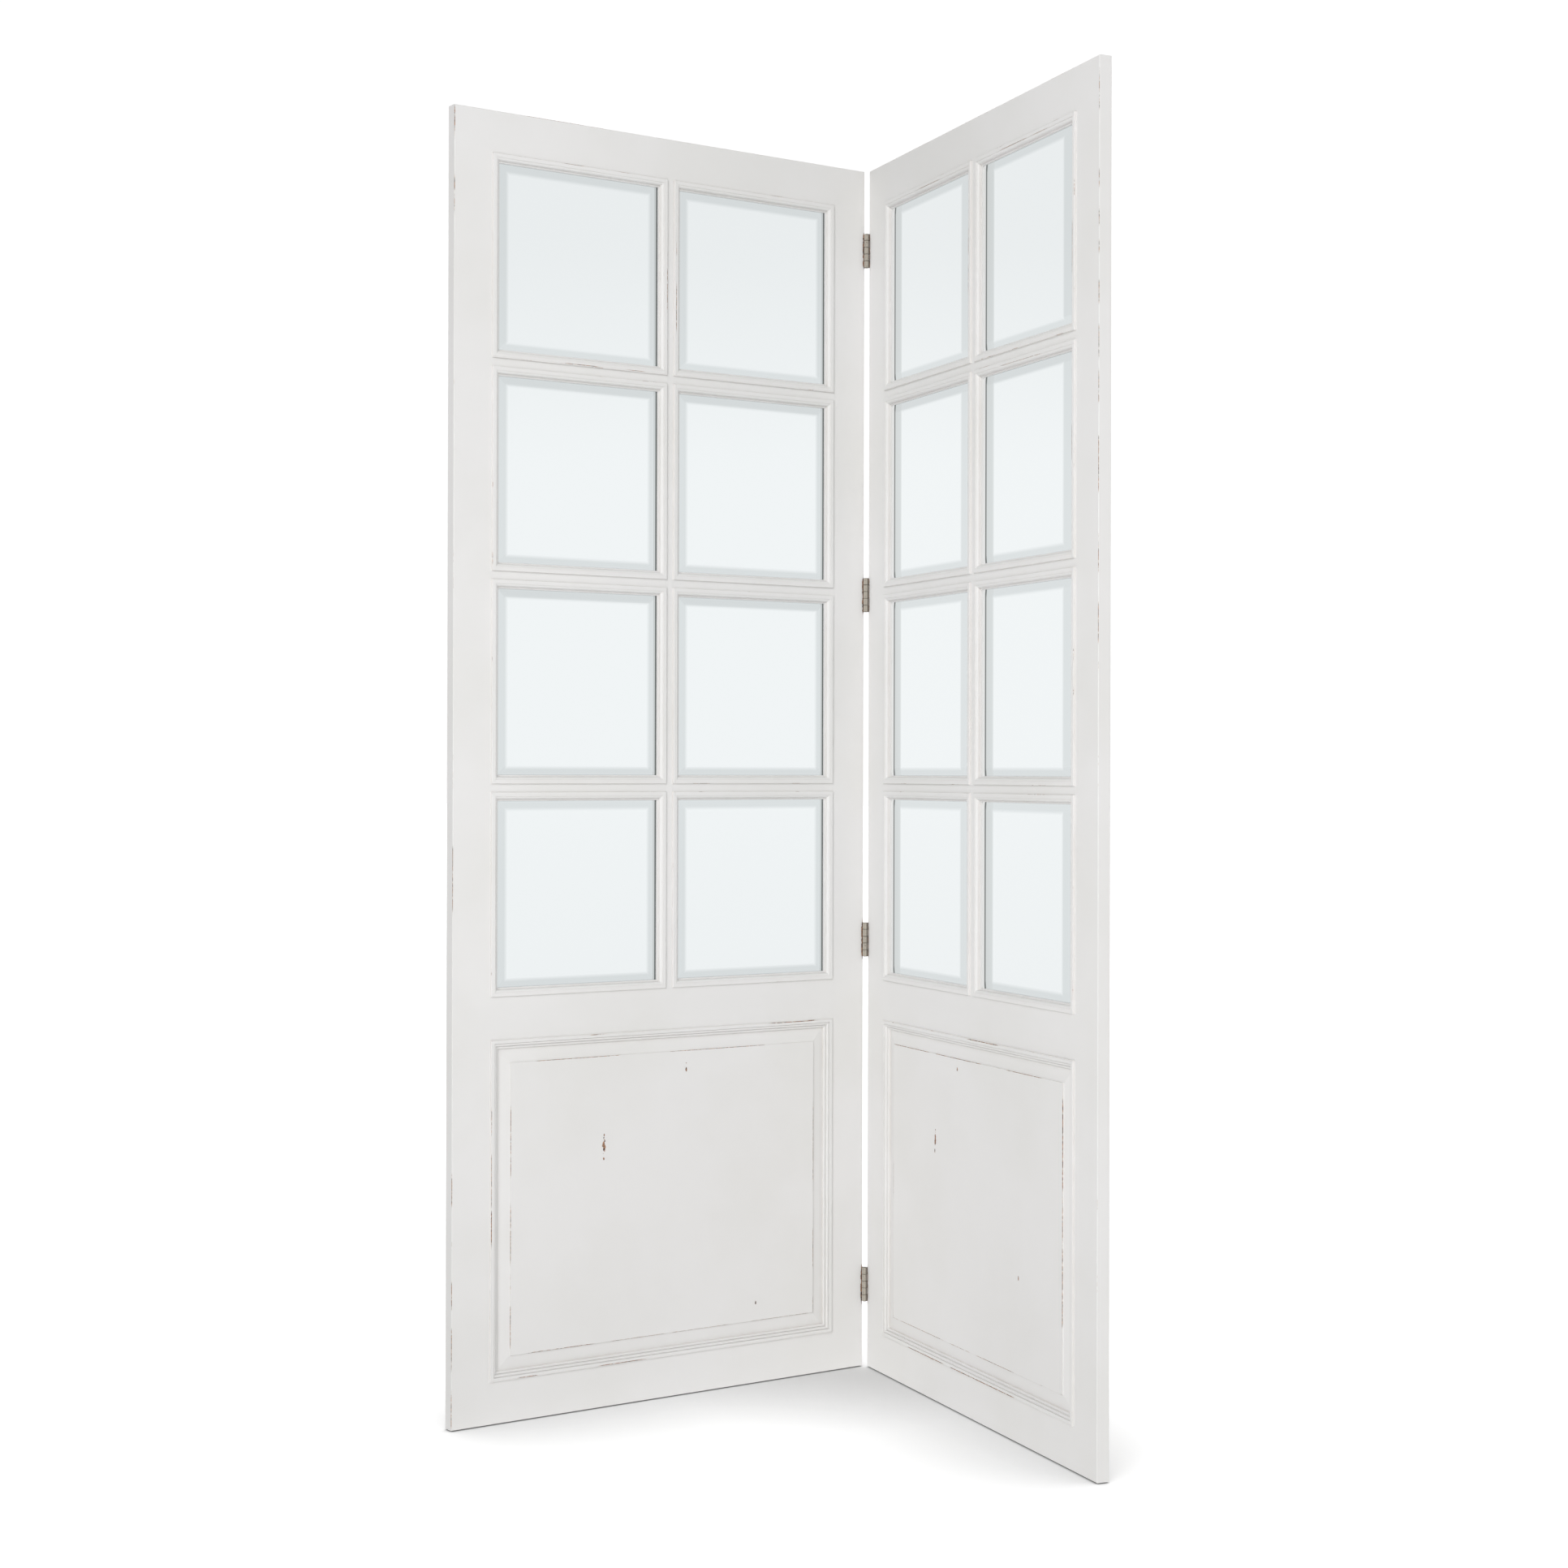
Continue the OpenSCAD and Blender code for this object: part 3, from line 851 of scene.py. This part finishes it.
@dataclass(frozen=True)
class HingeNickel:
    """Nickel-plated rolled steel of the hinges, with painted highlights on the barrel and painted shade
    beside it.

    The eye sees a warm grey barrel with soft lighter bands along it, which are painted highlights, painted
    shade where it meets the wood and in the seams between the knuckles, and dark stains all over.
    """

    name: str = "nickel_plated_steel"
    # Painted highlights and shade across the barrel: offset from its axis in millimetres, and colour.
    stripes: tuple[Tint, ...] = (
        (-4.6, "#b5aea2"), (-4.2, "#6e675f"), (-3.3, "#8b847a"), (-2.2, "#cbc4b9"), (-0.4, "#aca598"),
        (1.3, "#c4bdb1"), (2.5, "#a19a8f"), (3.3, "#857e75"), (4.2, "#6e675f"), (4.6, "#b5aea2"),
    )
    barrel_fade: float = 0.4
    # This colour paints the shade in the seams between the knuckles, and the stains.
    grime: str = "#574f48"
    spot_size: float = 2.5
    stain_share: float = 0.45
    seam_half: float = 0.45
    seam_share: float = 0.7
    roughness: float = 0.36
    grimy_roughness: float = 0.66
    first_seam: float = 97.5
    hinge_pitch: float = 519.0
    knuckle: float = 10.2

    def build(self) -> bpy.types.Material:
        """Make the finish.

        Returns:
            The material.
        """
        material, tree, shader = new_material(self.name)
        place = add_node(tree, "TexCoord")
        point = add_node(
            tree, "VectorMath", {0: place.outputs["Object"], 1: (1 / MM,) * 3}, operation="MULTIPLY"
        )
        parts = add_node(tree, "SeparateXYZ", {0: point})
        striped = self.striped(tree, parts)
        dirt = self.dirt(tree, point, parts)
        colour = add_node(
            tree, "Mix", {0: dirt, 6: striped.outputs["Color"], 7: self.grime}, data_type="RGBA"
        )
        rough = add_node(
            tree, "MapRange", {"Value": dirt, "To Min": self.roughness, "To Max": self.grimy_roughness}
        )
        fill(tree, shader, {"Base Color": colour.outputs[2], "Metallic": 1.0, "Roughness": rough})
        return material

    def striped(self, tree: Tree, parts: Node) -> Node:
        """Add the painted highlights and shade that run along the barrel: lighter in the middle, darker at
        its sides.

        Args:
            tree: The node tree.
            parts: The node that gives the point's coordinates in millimetres.

        Returns:
            The colour ramp.
        """
        low, high = self.stripes[0][0], self.stripes[-1][0]
        across = add_node(tree, "MapRange", {"Value": parts.outputs["X"], "From Min": low, "From Max": high})
        ramp = add_node(tree, "ValToRGB", {"Fac": across})
        span = high - low
        place_stops(ramp.color_ramp, [((where - low) / span, linear(tint)) for where, tint in self.stripes])
        return ramp

    def dirt(self, tree: Tree, point: Node, parts: Node) -> Node:
        """Add the painted shade in the seams between the knuckles, and dark stains all over.

        Args:
            tree: The node tree.
            point: The node that gives the point in millimetres.
            parts: The node that gives its coordinates.

        Returns:
            The node whose output is the share of painted seam shade and stains.
        """
        # Painted shade: the seams between the knuckles are darkened.
        above = add_node(tree, "Math", {0: parts.outputs["Z"], 1: self.first_seam}, operation="SUBTRACT")
        folded = add_node(tree, "Math", {0: above, 1: self.hinge_pitch}, operation="MODULO")
        half = add_node(tree, "Math", {0: folded, 1: self.knuckle / 2}, operation="PINGPONG")
        spots = add_node(tree, "TexNoise", {"Vector": point, "Scale": 1 / self.spot_size, "Detail": 3.0})
        ragged = add_node(tree, "MapRange", {
            "Value": spots, "From Min": 0.3, "From Max": 0.7, "To Min": 0.6, "To Max": 1.5,
        })
        reach = add_node(tree, "Math", {0: ragged, 1: self.seam_half}, operation="MULTIPLY")
        inside = add_node(tree, "Math", {0: reach, 1: half}, operation="SUBTRACT")
        aside = add_node(tree, "Math", {0: parts.outputs["X"]}, operation="ABSOLUTE")
        barrel_edge = self.stripes[-1][0]
        barrel = add_node(tree, "MapRange", {
            "Value": aside,
            "From Min": barrel_edge,
            "From Max": barrel_edge + self.barrel_fade,
            "To Min": self.seam_share,
            "To Max": 0.0,
        })
        seam = add_node(
            tree, "MapRange", {"Value": inside, "From Min": -0.25, "From Max": 0.15, "To Max": barrel}
        )
        stain = add_node(tree, "MapRange", {
            "Value": spots, "From Min": 0.56, "From Max": 0.72, "To Max": self.stain_share,
        })
        return add_node(tree, "Math", {0: seam, 1: stain}, operation="MAXIMUM")


@dataclass
class Panel:
    """One panel of the screen: frame, bars, mirrors, mouldings, lower panel and back."""

    side: Side
    chips: tuple[Chip, ...]
    frame_edges: tuple[WornEdge, ...]
    pane_edges: tuple[WornEdge, ...]
    lower_edges: tuple[WornEdge, ...]
    # Width of the band of painted shade over the bevelled rim of the mirrors.
    bevel_band: float
    # Upright lines of painted shade and painted reflection on the mirrors.
    glass_edge: tuple[TintStop, ...]
    sizes: PanelSizes = field(default_factory=PanelSizes)

    @property
    def space(self) -> PanelSpace:
        """Where the panel stands."""
        return PanelSpace(self.side, self.sizes)

    def names(self, *pieces: str) -> list[str]:
        """The CAD nodes of this panel for these pieces."""
        return [f"{self.side.word}_{piece}" for piece in pieces]

    def dress_paint(self) -> None:
        """Paint the members, the mouldings and the lower panel, each brushed along its length."""
        uprights = DistressedPaint(self.space, Part.FRAME, Grain.UPRIGHT, (), self.frame_edges)
        rails = DistressedPaint(self.space, Part.FRAME, Grain.ACROSS, (), self.frame_edges)
        glazing = DistressedPaint(self.space, Part.GLAZING, Grain.BOTH_WAYS, (), self.pane_edges)
        lower = DistressedPaint(self.space, Part.LOWER, Grain.UPRIGHT, self.chips, self.lower_edges)
        bars = [f"cross_bar_{number}" for number in range(1, self.sizes.rows)]
        dress(self.names("outer_stile", "hinge_stile"), uprights.build())
        dress(self.names("top_rail", "mid_rail", "bottom_rail"), rails.build())
        dress(self.names("centre_bar", *bars, "pane_mouldings"), glazing.build())
        dress(self.names("field_panel", "field_moulding"), lower.build())

    def dress_mirrors(self) -> None:
        """Silver the mirror panes."""
        panes = [f"mirror_{number}" for number in range(1, self.sizes.rows * self.sizes.columns + 1)]
        dress(self.names(*panes), SilveredGlass(self.space, self.bevel_band, self.glass_edge).build())

    def dress_back(self, board: bpy.types.Material, steel: bpy.types.Material) -> None:
        """Finish the backing board and the screws.

        Args:
            board: Finish of the board.
            steel: Finish of the screws.
        """
        dress(self.names("back_board"), board)
        dress(self.names("board_screws", "hinge_screws"), steel)

    def keep_out_of_mirrors(self) -> None:
        """Let the mirrors show the plain studio, as in the photograph."""
        for name, node in frame["nodes"].items():
            if name.startswith(self.side.word):
                node.visible_glossy = False


@dataclass
class HingeSet:
    """The four butt hinges between the panels."""

    count: int = 4

    def dress(self, metal: bpy.types.Material) -> None:
        """Finish the leaves and the pins.

        Args:
            metal: The hinges' finish.
        """
        for number in range(1, self.count + 1):
            dress([f"hinge_{number}_{part}" for part in ("left_leaf", "right_leaf", "pin")], metal)


@dataclass
class Studio:
    """White floor and surroundings, soft lights and the camera."""

    floor_half: float = 60.0
    floor_drop: float = 1.4 * MM
    floor_white: str = "#c8c8c8"
    floor_roughness: float = 0.9
    floor_seen: float = 0.77
    floor_mirrored: float = 0.905
    floor_bounce: float = 0.35
    contact_reach: float = 0.35
    contact_depth: float = 1.45
    crack_reach: float = 0.004
    crack_depth: float = 0.7
    shade_samples: int = 16
    surround: float = 0.58
    surround_lean: tuple[float, float, float] = (0.06, 0.7, 0.0)
    shaded_side: tuple[float, float, float] = (-0.28, -0.21, 0.0)
    surround_seen: float = 1.03
    mirrored_top: float = 0.93
    mirrored_from: float = 0.12
    mirrored_to: float = 0.2
    sun_strength: float = 1.58
    sun_height: float = 20.0
    sun_turn: float = 0.5
    sun_spread: float = 30.0
    lamp_place: tuple[float, float, float] = (0.12, -1.25, 0.9)
    lamp_power: float = 7.2
    lamp_width: float = 0.5
    lamp_height: float = 2.8
    lens: float = 58.897
    shift_x: float = 0.00127
    shift_y: float = -0.01316
    camera_place: tuple[float, float, float] = (0.96691, -3.48526, 0.89562)
    camera_yaw: float = 16.3407
    camera_pitch: float = 0.16955
    camera_roll: float = -0.13231

    def build(self) -> None:
        """Set up the whole studio."""
        self.add_floor()
        self.add_surround()
        self.add_lights()
        self.add_camera()
        bpy.context.scene.view_settings.view_transform = "Standard"
        log.info("studio: floor, surround, lights and camera")

    def add_floor(self) -> None:
        """Lay a white floor that throws light up, shades off under the screen and shows white."""
        bpy.ops.object.select_all(action="DESELECT")
        bpy.ops.mesh.primitive_plane_add(size=2 * self.floor_half, location=(0, 0, -self.floor_drop))
        floor = bpy.context.object
        floor.name = "studio_floor"
        material, tree, shader = new_material("white_studio_floor")
        path = add_node(tree, "LightPath")
        crack = add_node(
            tree, "AmbientOcclusion", {"Distance": self.crack_reach}, samples=self.shade_samples
        )
        line = add_node(tree, "Math", {0: crack.outputs["AO"], 1: self.crack_depth}, operation="POWER")
        white = add_node(tree, "Mix", {0: line, 6: (0, 0, 0, 1), 7: self.floor_white}, data_type="RGBA")
        tint = add_node(tree, "Mix", {
            0: path.outputs["Is Glossy Ray"], 6: white.outputs[2], 7: (0, 0, 0, 1),
        }, data_type="RGBA")
        glow = self.floor_glow(tree, path, line)
        fill(tree, shader, {"Base Color": tint.outputs[2], "Roughness": self.floor_roughness})
        fill(tree, shader, {"Emission Color": (1, 1, 1, 1), "Emission Strength": glow})
        floor.data.materials.append(material)

    def floor_glow(self, tree: Tree, path: Node, line: Node) -> Node:
        """Add the light that the floor gives off, which differs by the kind of ray.

        Args:
            tree: The floor's node tree.
            path: The node that tells the kind of ray.
            line: The node that falls to 0 in the crack under the screen.

        Returns:
            The node whose output is the strength.
        """
        seen = add_node(
            tree, "Math", {0: path.outputs["Is Camera Ray"], 1: self.floor_seen}, operation="MULTIPLY"
        )
        near = add_node(
            tree, "AmbientOcclusion", {"Distance": self.contact_reach}, samples=self.shade_samples
        )
        shade = add_node(tree, "Math", {0: near.outputs["AO"], 1: self.contact_depth}, operation="POWER")
        under = add_node(tree, "Math", {0: shade, 1: line}, operation="MULTIPLY")
        glow = add_node(tree, "Math", {0: seen, 1: under}, operation="MULTIPLY")
        for ray, level in (("Is Glossy Ray", self.floor_mirrored), ("Is Diffuse Ray", self.floor_bounce)):
            glow = add_node(
                tree, "Math", {0: path.outputs[ray], 1: level, 2: glow}, operation="MULTIPLY_ADD"
            )
        return glow

    def add_surround(self) -> None:
        """Surround the scene with soft light, white to the camera and greyer high up in the mirrors."""
        world = bpy.data.worlds.new("white_surround")
        bpy.context.scene.world = world
        world.use_nodes = True
        tree = world.node_tree
        tree.nodes.clear()
        path = add_node(tree, "LightPath")
        place = add_node(tree, "TexCoord")
        parts = add_node(tree, "SeparateXYZ", {0: place.outputs["Generated"]})
        mirrored = add_node(tree, "MapRange", {
            "Value": parts.outputs["Z"],
            "From Min": self.mirrored_from,
            "From Max": self.mirrored_to,
            "To Min": 1.0,
            "To Max": self.mirrored_top,
        })
        lean = add_node(tree, "VectorMath", {
            0: place.outputs["Generated"], 1: self.surround_lean,
        }, operation="DOT_PRODUCT")
        even = add_node(tree, "Math", {0: lean.outputs["Value"], 1: self.surround}, operation="ADD")
        side = add_node(tree, "VectorMath", {
            0: place.outputs["Generated"], 1: self.shaded_side,
        }, operation="DOT_PRODUCT")
        taken = add_node(tree, "Math", {0: side.outputs["Value"], 1: 0.0}, operation="MAXIMUM")
        left = add_node(tree, "Math", {0: even, 1: taken}, operation="SUBTRACT")
        soft = add_node(tree, "Math", {0: left, 1: 0.0}, operation="MAXIMUM")
        plain = add_node(tree, "Mix", {
            0: path.outputs["Is Camera Ray"], 2: soft, 3: self.surround_seen,
        }, data_type="FLOAT")
        strength = add_node(
            tree, "Mix", {0: path.outputs["Is Glossy Ray"], 2: plain, 3: mirrored}, data_type="FLOAT"
        )
        light = add_node(tree, "Background", {"Color": (1, 1, 1, 1), "Strength": strength})
        add_node(tree, "OutputWorld", {"Surface": light})

    def add_lights(self) -> None:
        """Stand a tall soft lamp just before the screen, and a wide soft light far behind the camera."""
        box = bpy.data.lights.new("soft_box", "AREA")
        box.shape = "RECTANGLE"
        box.size, box.size_y = self.lamp_width, self.lamp_height
        box.energy = self.lamp_power
        wall = bpy.data.lights.new("bright_wall", "SUN")
        wall.angle = math.radians(self.sun_spread)
        wall.energy = self.sun_strength
        to_screen = math.degrees(math.atan2(self.lamp_place[0], -self.lamp_place[1]))
        turns = {box: (90, to_screen), wall: (90 - self.sun_height, self.sun_turn)}
        for data, (tip, turn) in turns.items():
            lamp = bpy.data.objects.new(data.name, data)
            bpy.context.collection.objects.link(lamp)
            lamp.location = self.lamp_place
            lamp.rotation_euler = (math.radians(tip), 0, math.radians(turn))
            lamp.visible_camera = False
            lamp.visible_glossy = False

    def add_camera(self) -> None:
        """Place the camera where the photograph was taken."""
        data = bpy.data.cameras.new("photo_camera")
        data.lens = self.lens
        data.shift_x, data.shift_y = self.shift_x, self.shift_y
        camera = bpy.data.objects.new("photo_camera", data)
        bpy.context.collection.objects.link(camera)
        turn = Matrix.Rotation(math.radians(self.camera_yaw), 4, "Z")
        tilt = Matrix.Rotation(math.radians(90 + self.camera_pitch), 4, "X")
        roll = Matrix.Rotation(math.radians(-self.camera_roll), 4, "Z")
        camera.matrix_world = Matrix.Translation(Vector(self.camera_place)) @ turn @ tilt @ roll
        bpy.context.scene.camera = camera


# Waxing and painted shade in the creases: distance inside the opening, and the share of both there.
BEAD_WAX_AND_SHADE = (
    (-0.8, 0.0), (-0.3, 0.15), (0.3, 0.15), (0.8, 0.0), (5.3, 0.0), (5.7, 0.08), (6.2, 0.08), (6.6, 0.0),
    (8.9, 0.0), (9.6, 0.16), (10.0, 0.16), (10.6, 0.0), (12.6, 0.0),
)
REED_WAX_AND_SHADE = (
    (-0.8, 0.0), (-0.3, 0.16), (0.3, 0.16), (0.8, 0.0), (4.8, 0.0), (5.3, 0.06), (5.7, 0.06), (6.3, 0.0),
    (8.5, 0.0), (9.1, 0.08), (9.6, 0.08), (10.2, 0.0), (12.2, 0.0), (12.9, 0.2), (13.6, 0.16),
    (15.5, 0.05), (20.0, 0.0),
)
# Upright painted lines on the glass, painted shade where its edge would show and painted reflections of the
# moulding walls: place across the opening, colour, and how much it covers.
LEFT_GLASS_SHADE_AND_REFLECTION = (
    (11.0, "#6a6e6d", 1.0), (14.4, "#6a6e6d", 1.0), (15.2, "#b9bdbc", 0.3), (16.4, "#a2a6a5", 0.25),
    (17.2, "#a2a6a5", 0.4), (18.0, "#a2a6a5", 0.0), (266.5, "#c9cdcc", 0.0), (266.9, "#c9cdcc", 0.5),
    (267.3, "#e2e3e2", 0.9), (270.0, "#e2e3e2", 0.9),
)
RIGHT_GLASS_SHADE_AND_REFLECTION = (
    (11.0, "#e2e3e2", 1.0), (17.8, "#e2e3e2", 1.0), (18.7, "#6c706f", 1.0), (22.1, "#6c706f", 1.0),
    (23.7, "#cdd1d0", 0.6), (32.0, "#cdd1d0", 0.5), (42.0, "#cdd1d0", 0.3), (45.0, "#cdd1d0", 0.0),
)
# Wear, read from the photograph: chips of the lower panels, and bare lines along the edges. The lines beside
# the hinge barrels are painted shadow, not wear.
LEFT_CHIPS = (
    Chip(451.0, 367.2, 2.8, 9.4),
    Chip(450.7, 382.5, 1.0, 1.6),
    Chip(451.3, 349.0, 1.1, 2.0),
    Chip(314.0, 466.0, 1.2, 4.0),
    Chip(314.3, 475.3, 0.8, 0.9),
    Chip(193.0, 117.0, 1.4, 3.0),
)
RIGHT_CHIPS = (
    Chip(229.1, 371.0, 2.2, 9.4),
    Chip(229.5, 385.0, 0.9, 1.2),
    Chip(228.0, 354.4, 1.3, 3.0),
    Chip(298.0, 478.7, 1.4, 2.2),
    Chip(479.8, 218.8, 1.4, 3.0),
)
HINGE_FEET = (98, 617, 1136, 1655)
HINGE_HEIGHT = 50
BARREL_SIDE = 1.2
LEFT_FRAME_WEAR_AND_SHADE = (
    WornEdge(True, 689.6, 0.4, (
        (84, 137, 0.45), (165, 200, 0.45), (304, 345, 0.45), (704, 791, 0.4), (1654, 1680, 0.35),
        (1682, 1701, 0.6), (1765, 1799, 0.65),
    )),
    WornEdge(True, 689.6, 0.4, ((2, 50, 0.4),)),
    WornEdge(False, 1799.6, 0.4, ((455, 478, 0.2), (489, 578, 0.33))),
    # Painted shadow: wood-coloured lines on the hinge stile beside each hinge barrel.
    WornEdge(True, BARREL_SIDE, 0.0, tuple((foot, foot + HINGE_HEIGHT, 1.9) for foot in HINGE_FEET)),
)
LEFT_PANE_EDGES = (
    WornEdge(False, 1741.6, -3.0, ((489, 521, 0.35), (150, 171, 0.3))),
    WornEdge(True, 351.6, -3.0, ((1549, 1613, 0.4),)),
    WornEdge(True, 336.0, -3.2, ((1527, 1591, 0.42), (1634, 1652, 0.3))),
    WornEdge(False, 1463.0, -3.2, ((392, 415, 0.3), (468, 519, 0.38))),
)
LEFT_LOWER_EDGES = (
    WornEdge(False, 493.5, 0.5, ((181, 322, 0.59), (425, 560, 0.59))),
    WornEdge(True, 599.5, 0.5, ((104, 157, 0.59), (177, 189, 0.39), (218, 295, 0.59), (339, 430, 0.59))),
    WornEdge(True, 90.5, 0.5, ((158, 215, 0.52), (310, 400, 0.52))),
    WornEdge(False, 90.5, 0.5, ((110, 200, 0.33), (240, 330, 0.30), (350, 440, 0.33), (470, 569, 0.65))),
    WornEdge(True, 631.0, -3.2, ((247, 294, 0.59), (296, 370, 0.33), (399, 434, 0.33))),
    WornEdge(False, 524.8, -3.2, ((92, 169, 0.52), (457, 476, 0.45))),
    WornEdge(False, 59.4, -3.2, ((387, 458, 0.45), (560, 587, 0.45))),
)
RIGHT_FRAME_WEAR_AND_SHADE = (
    WornEdge(True, 689.4, 0.3, (
        (1488, 1515, 0.45), (1549, 1566, 0.45), (1585, 1608, 0.39), (1633, 1654, 0.39), (1731, 1747, 0.39),
        (1755, 1772, 0.39),
    )),
    WornEdge(True, 689.4, 0.3, (
        (1060, 1110, 0.39), (1150, 1180, 0.39), (1250, 1320, 0.45), (1360, 1400, 0.39), (1420, 1460, 0.39),
    )),
    WornEdge(False, 1799.6, 0.4, ((120, 200, 0.2), (300, 420, 0.25), (560, 600, 0.25))),
    # Painted shadow: wood-coloured lines on the hinge stile beside each hinge barrel.
    WornEdge(True, BARREL_SIDE, 0.0, tuple((foot, foot + HINGE_HEIGHT, 1.6) for foot in HINGE_FEET)),
)
RIGHT_PANE_EDGES = (
    WornEdge(False, 1736.6, -3.2, ((180, 240, 0.26), (430, 500, 0.33), (520, 560, 0.26))),
    WornEdge(False, 1444.0, -3.2, ((429, 543, 0.52),)),
    WornEdge(True, 334.0, -3.2, ((1560, 1600, 0.33), (1614, 1650, 0.45))),
    WornEdge(True, 626.6, -3.2, ((1539, 1599, 0.52), (1300, 1340, 0.39))),
)
RIGHT_LOWER_EDGES = (
    WornEdge(False, 493.5, 0.5, ((95, 209, 0.59), (230, 370, 0.65), (445, 541, 0.59))),
    WornEdge(True, 599.5, 0.7, ((178, 277, 0.6), (288, 332, 0.5), (355, 471, 0.66))),
    WornEdge(False, 90.5, 0.5, ((119, 253, 0.55), (280, 320, 0.45), (359, 465, 0.6))),
    WornEdge(False, 524.8, -3.2, ((338, 427, 0.52),)),
    WornEdge(False, 59.4, -3.2, ((149, 261, 0.52), (287, 472, 0.59))),
)


def main() -> None:
    """Dress the whole screen and set up the studio."""
    logging.basicConfig(level=logging.INFO, format="%(message)s")
    board = PaintedHardboard().build()
    steel = BrushedMetal(
        name="zinc_plated_steel", bright="#b9babb", tarnish="#8d8f90", roughness=0.35
    ).build()
    nickel = HingeNickel().build()
    left = Panel(
        side=Side.LEFT,
        chips=LEFT_CHIPS,
        frame_edges=LEFT_FRAME_WEAR_AND_SHADE,
        pane_edges=LEFT_PANE_EDGES,
        lower_edges=LEFT_LOWER_EDGES,
        bevel_band=26.3,
        glass_edge=LEFT_GLASS_SHADE_AND_REFLECTION,
    )
    right = Panel(
        side=Side.RIGHT,
        chips=RIGHT_CHIPS,
        frame_edges=RIGHT_FRAME_WEAR_AND_SHADE,
        pane_edges=RIGHT_PANE_EDGES,
        lower_edges=RIGHT_LOWER_EDGES,
        bevel_band=43.0,
        glass_edge=RIGHT_GLASS_SHADE_AND_REFLECTION,
    )
    for panel in (left, right):
        panel.dress_paint()
        panel.dress_mirrors()
        panel.dress_back(board, steel)
        panel.keep_out_of_mirrors()
    HingeSet().dress(nickel)
    Studio().build()


if __name__ == "__main__":
    main()
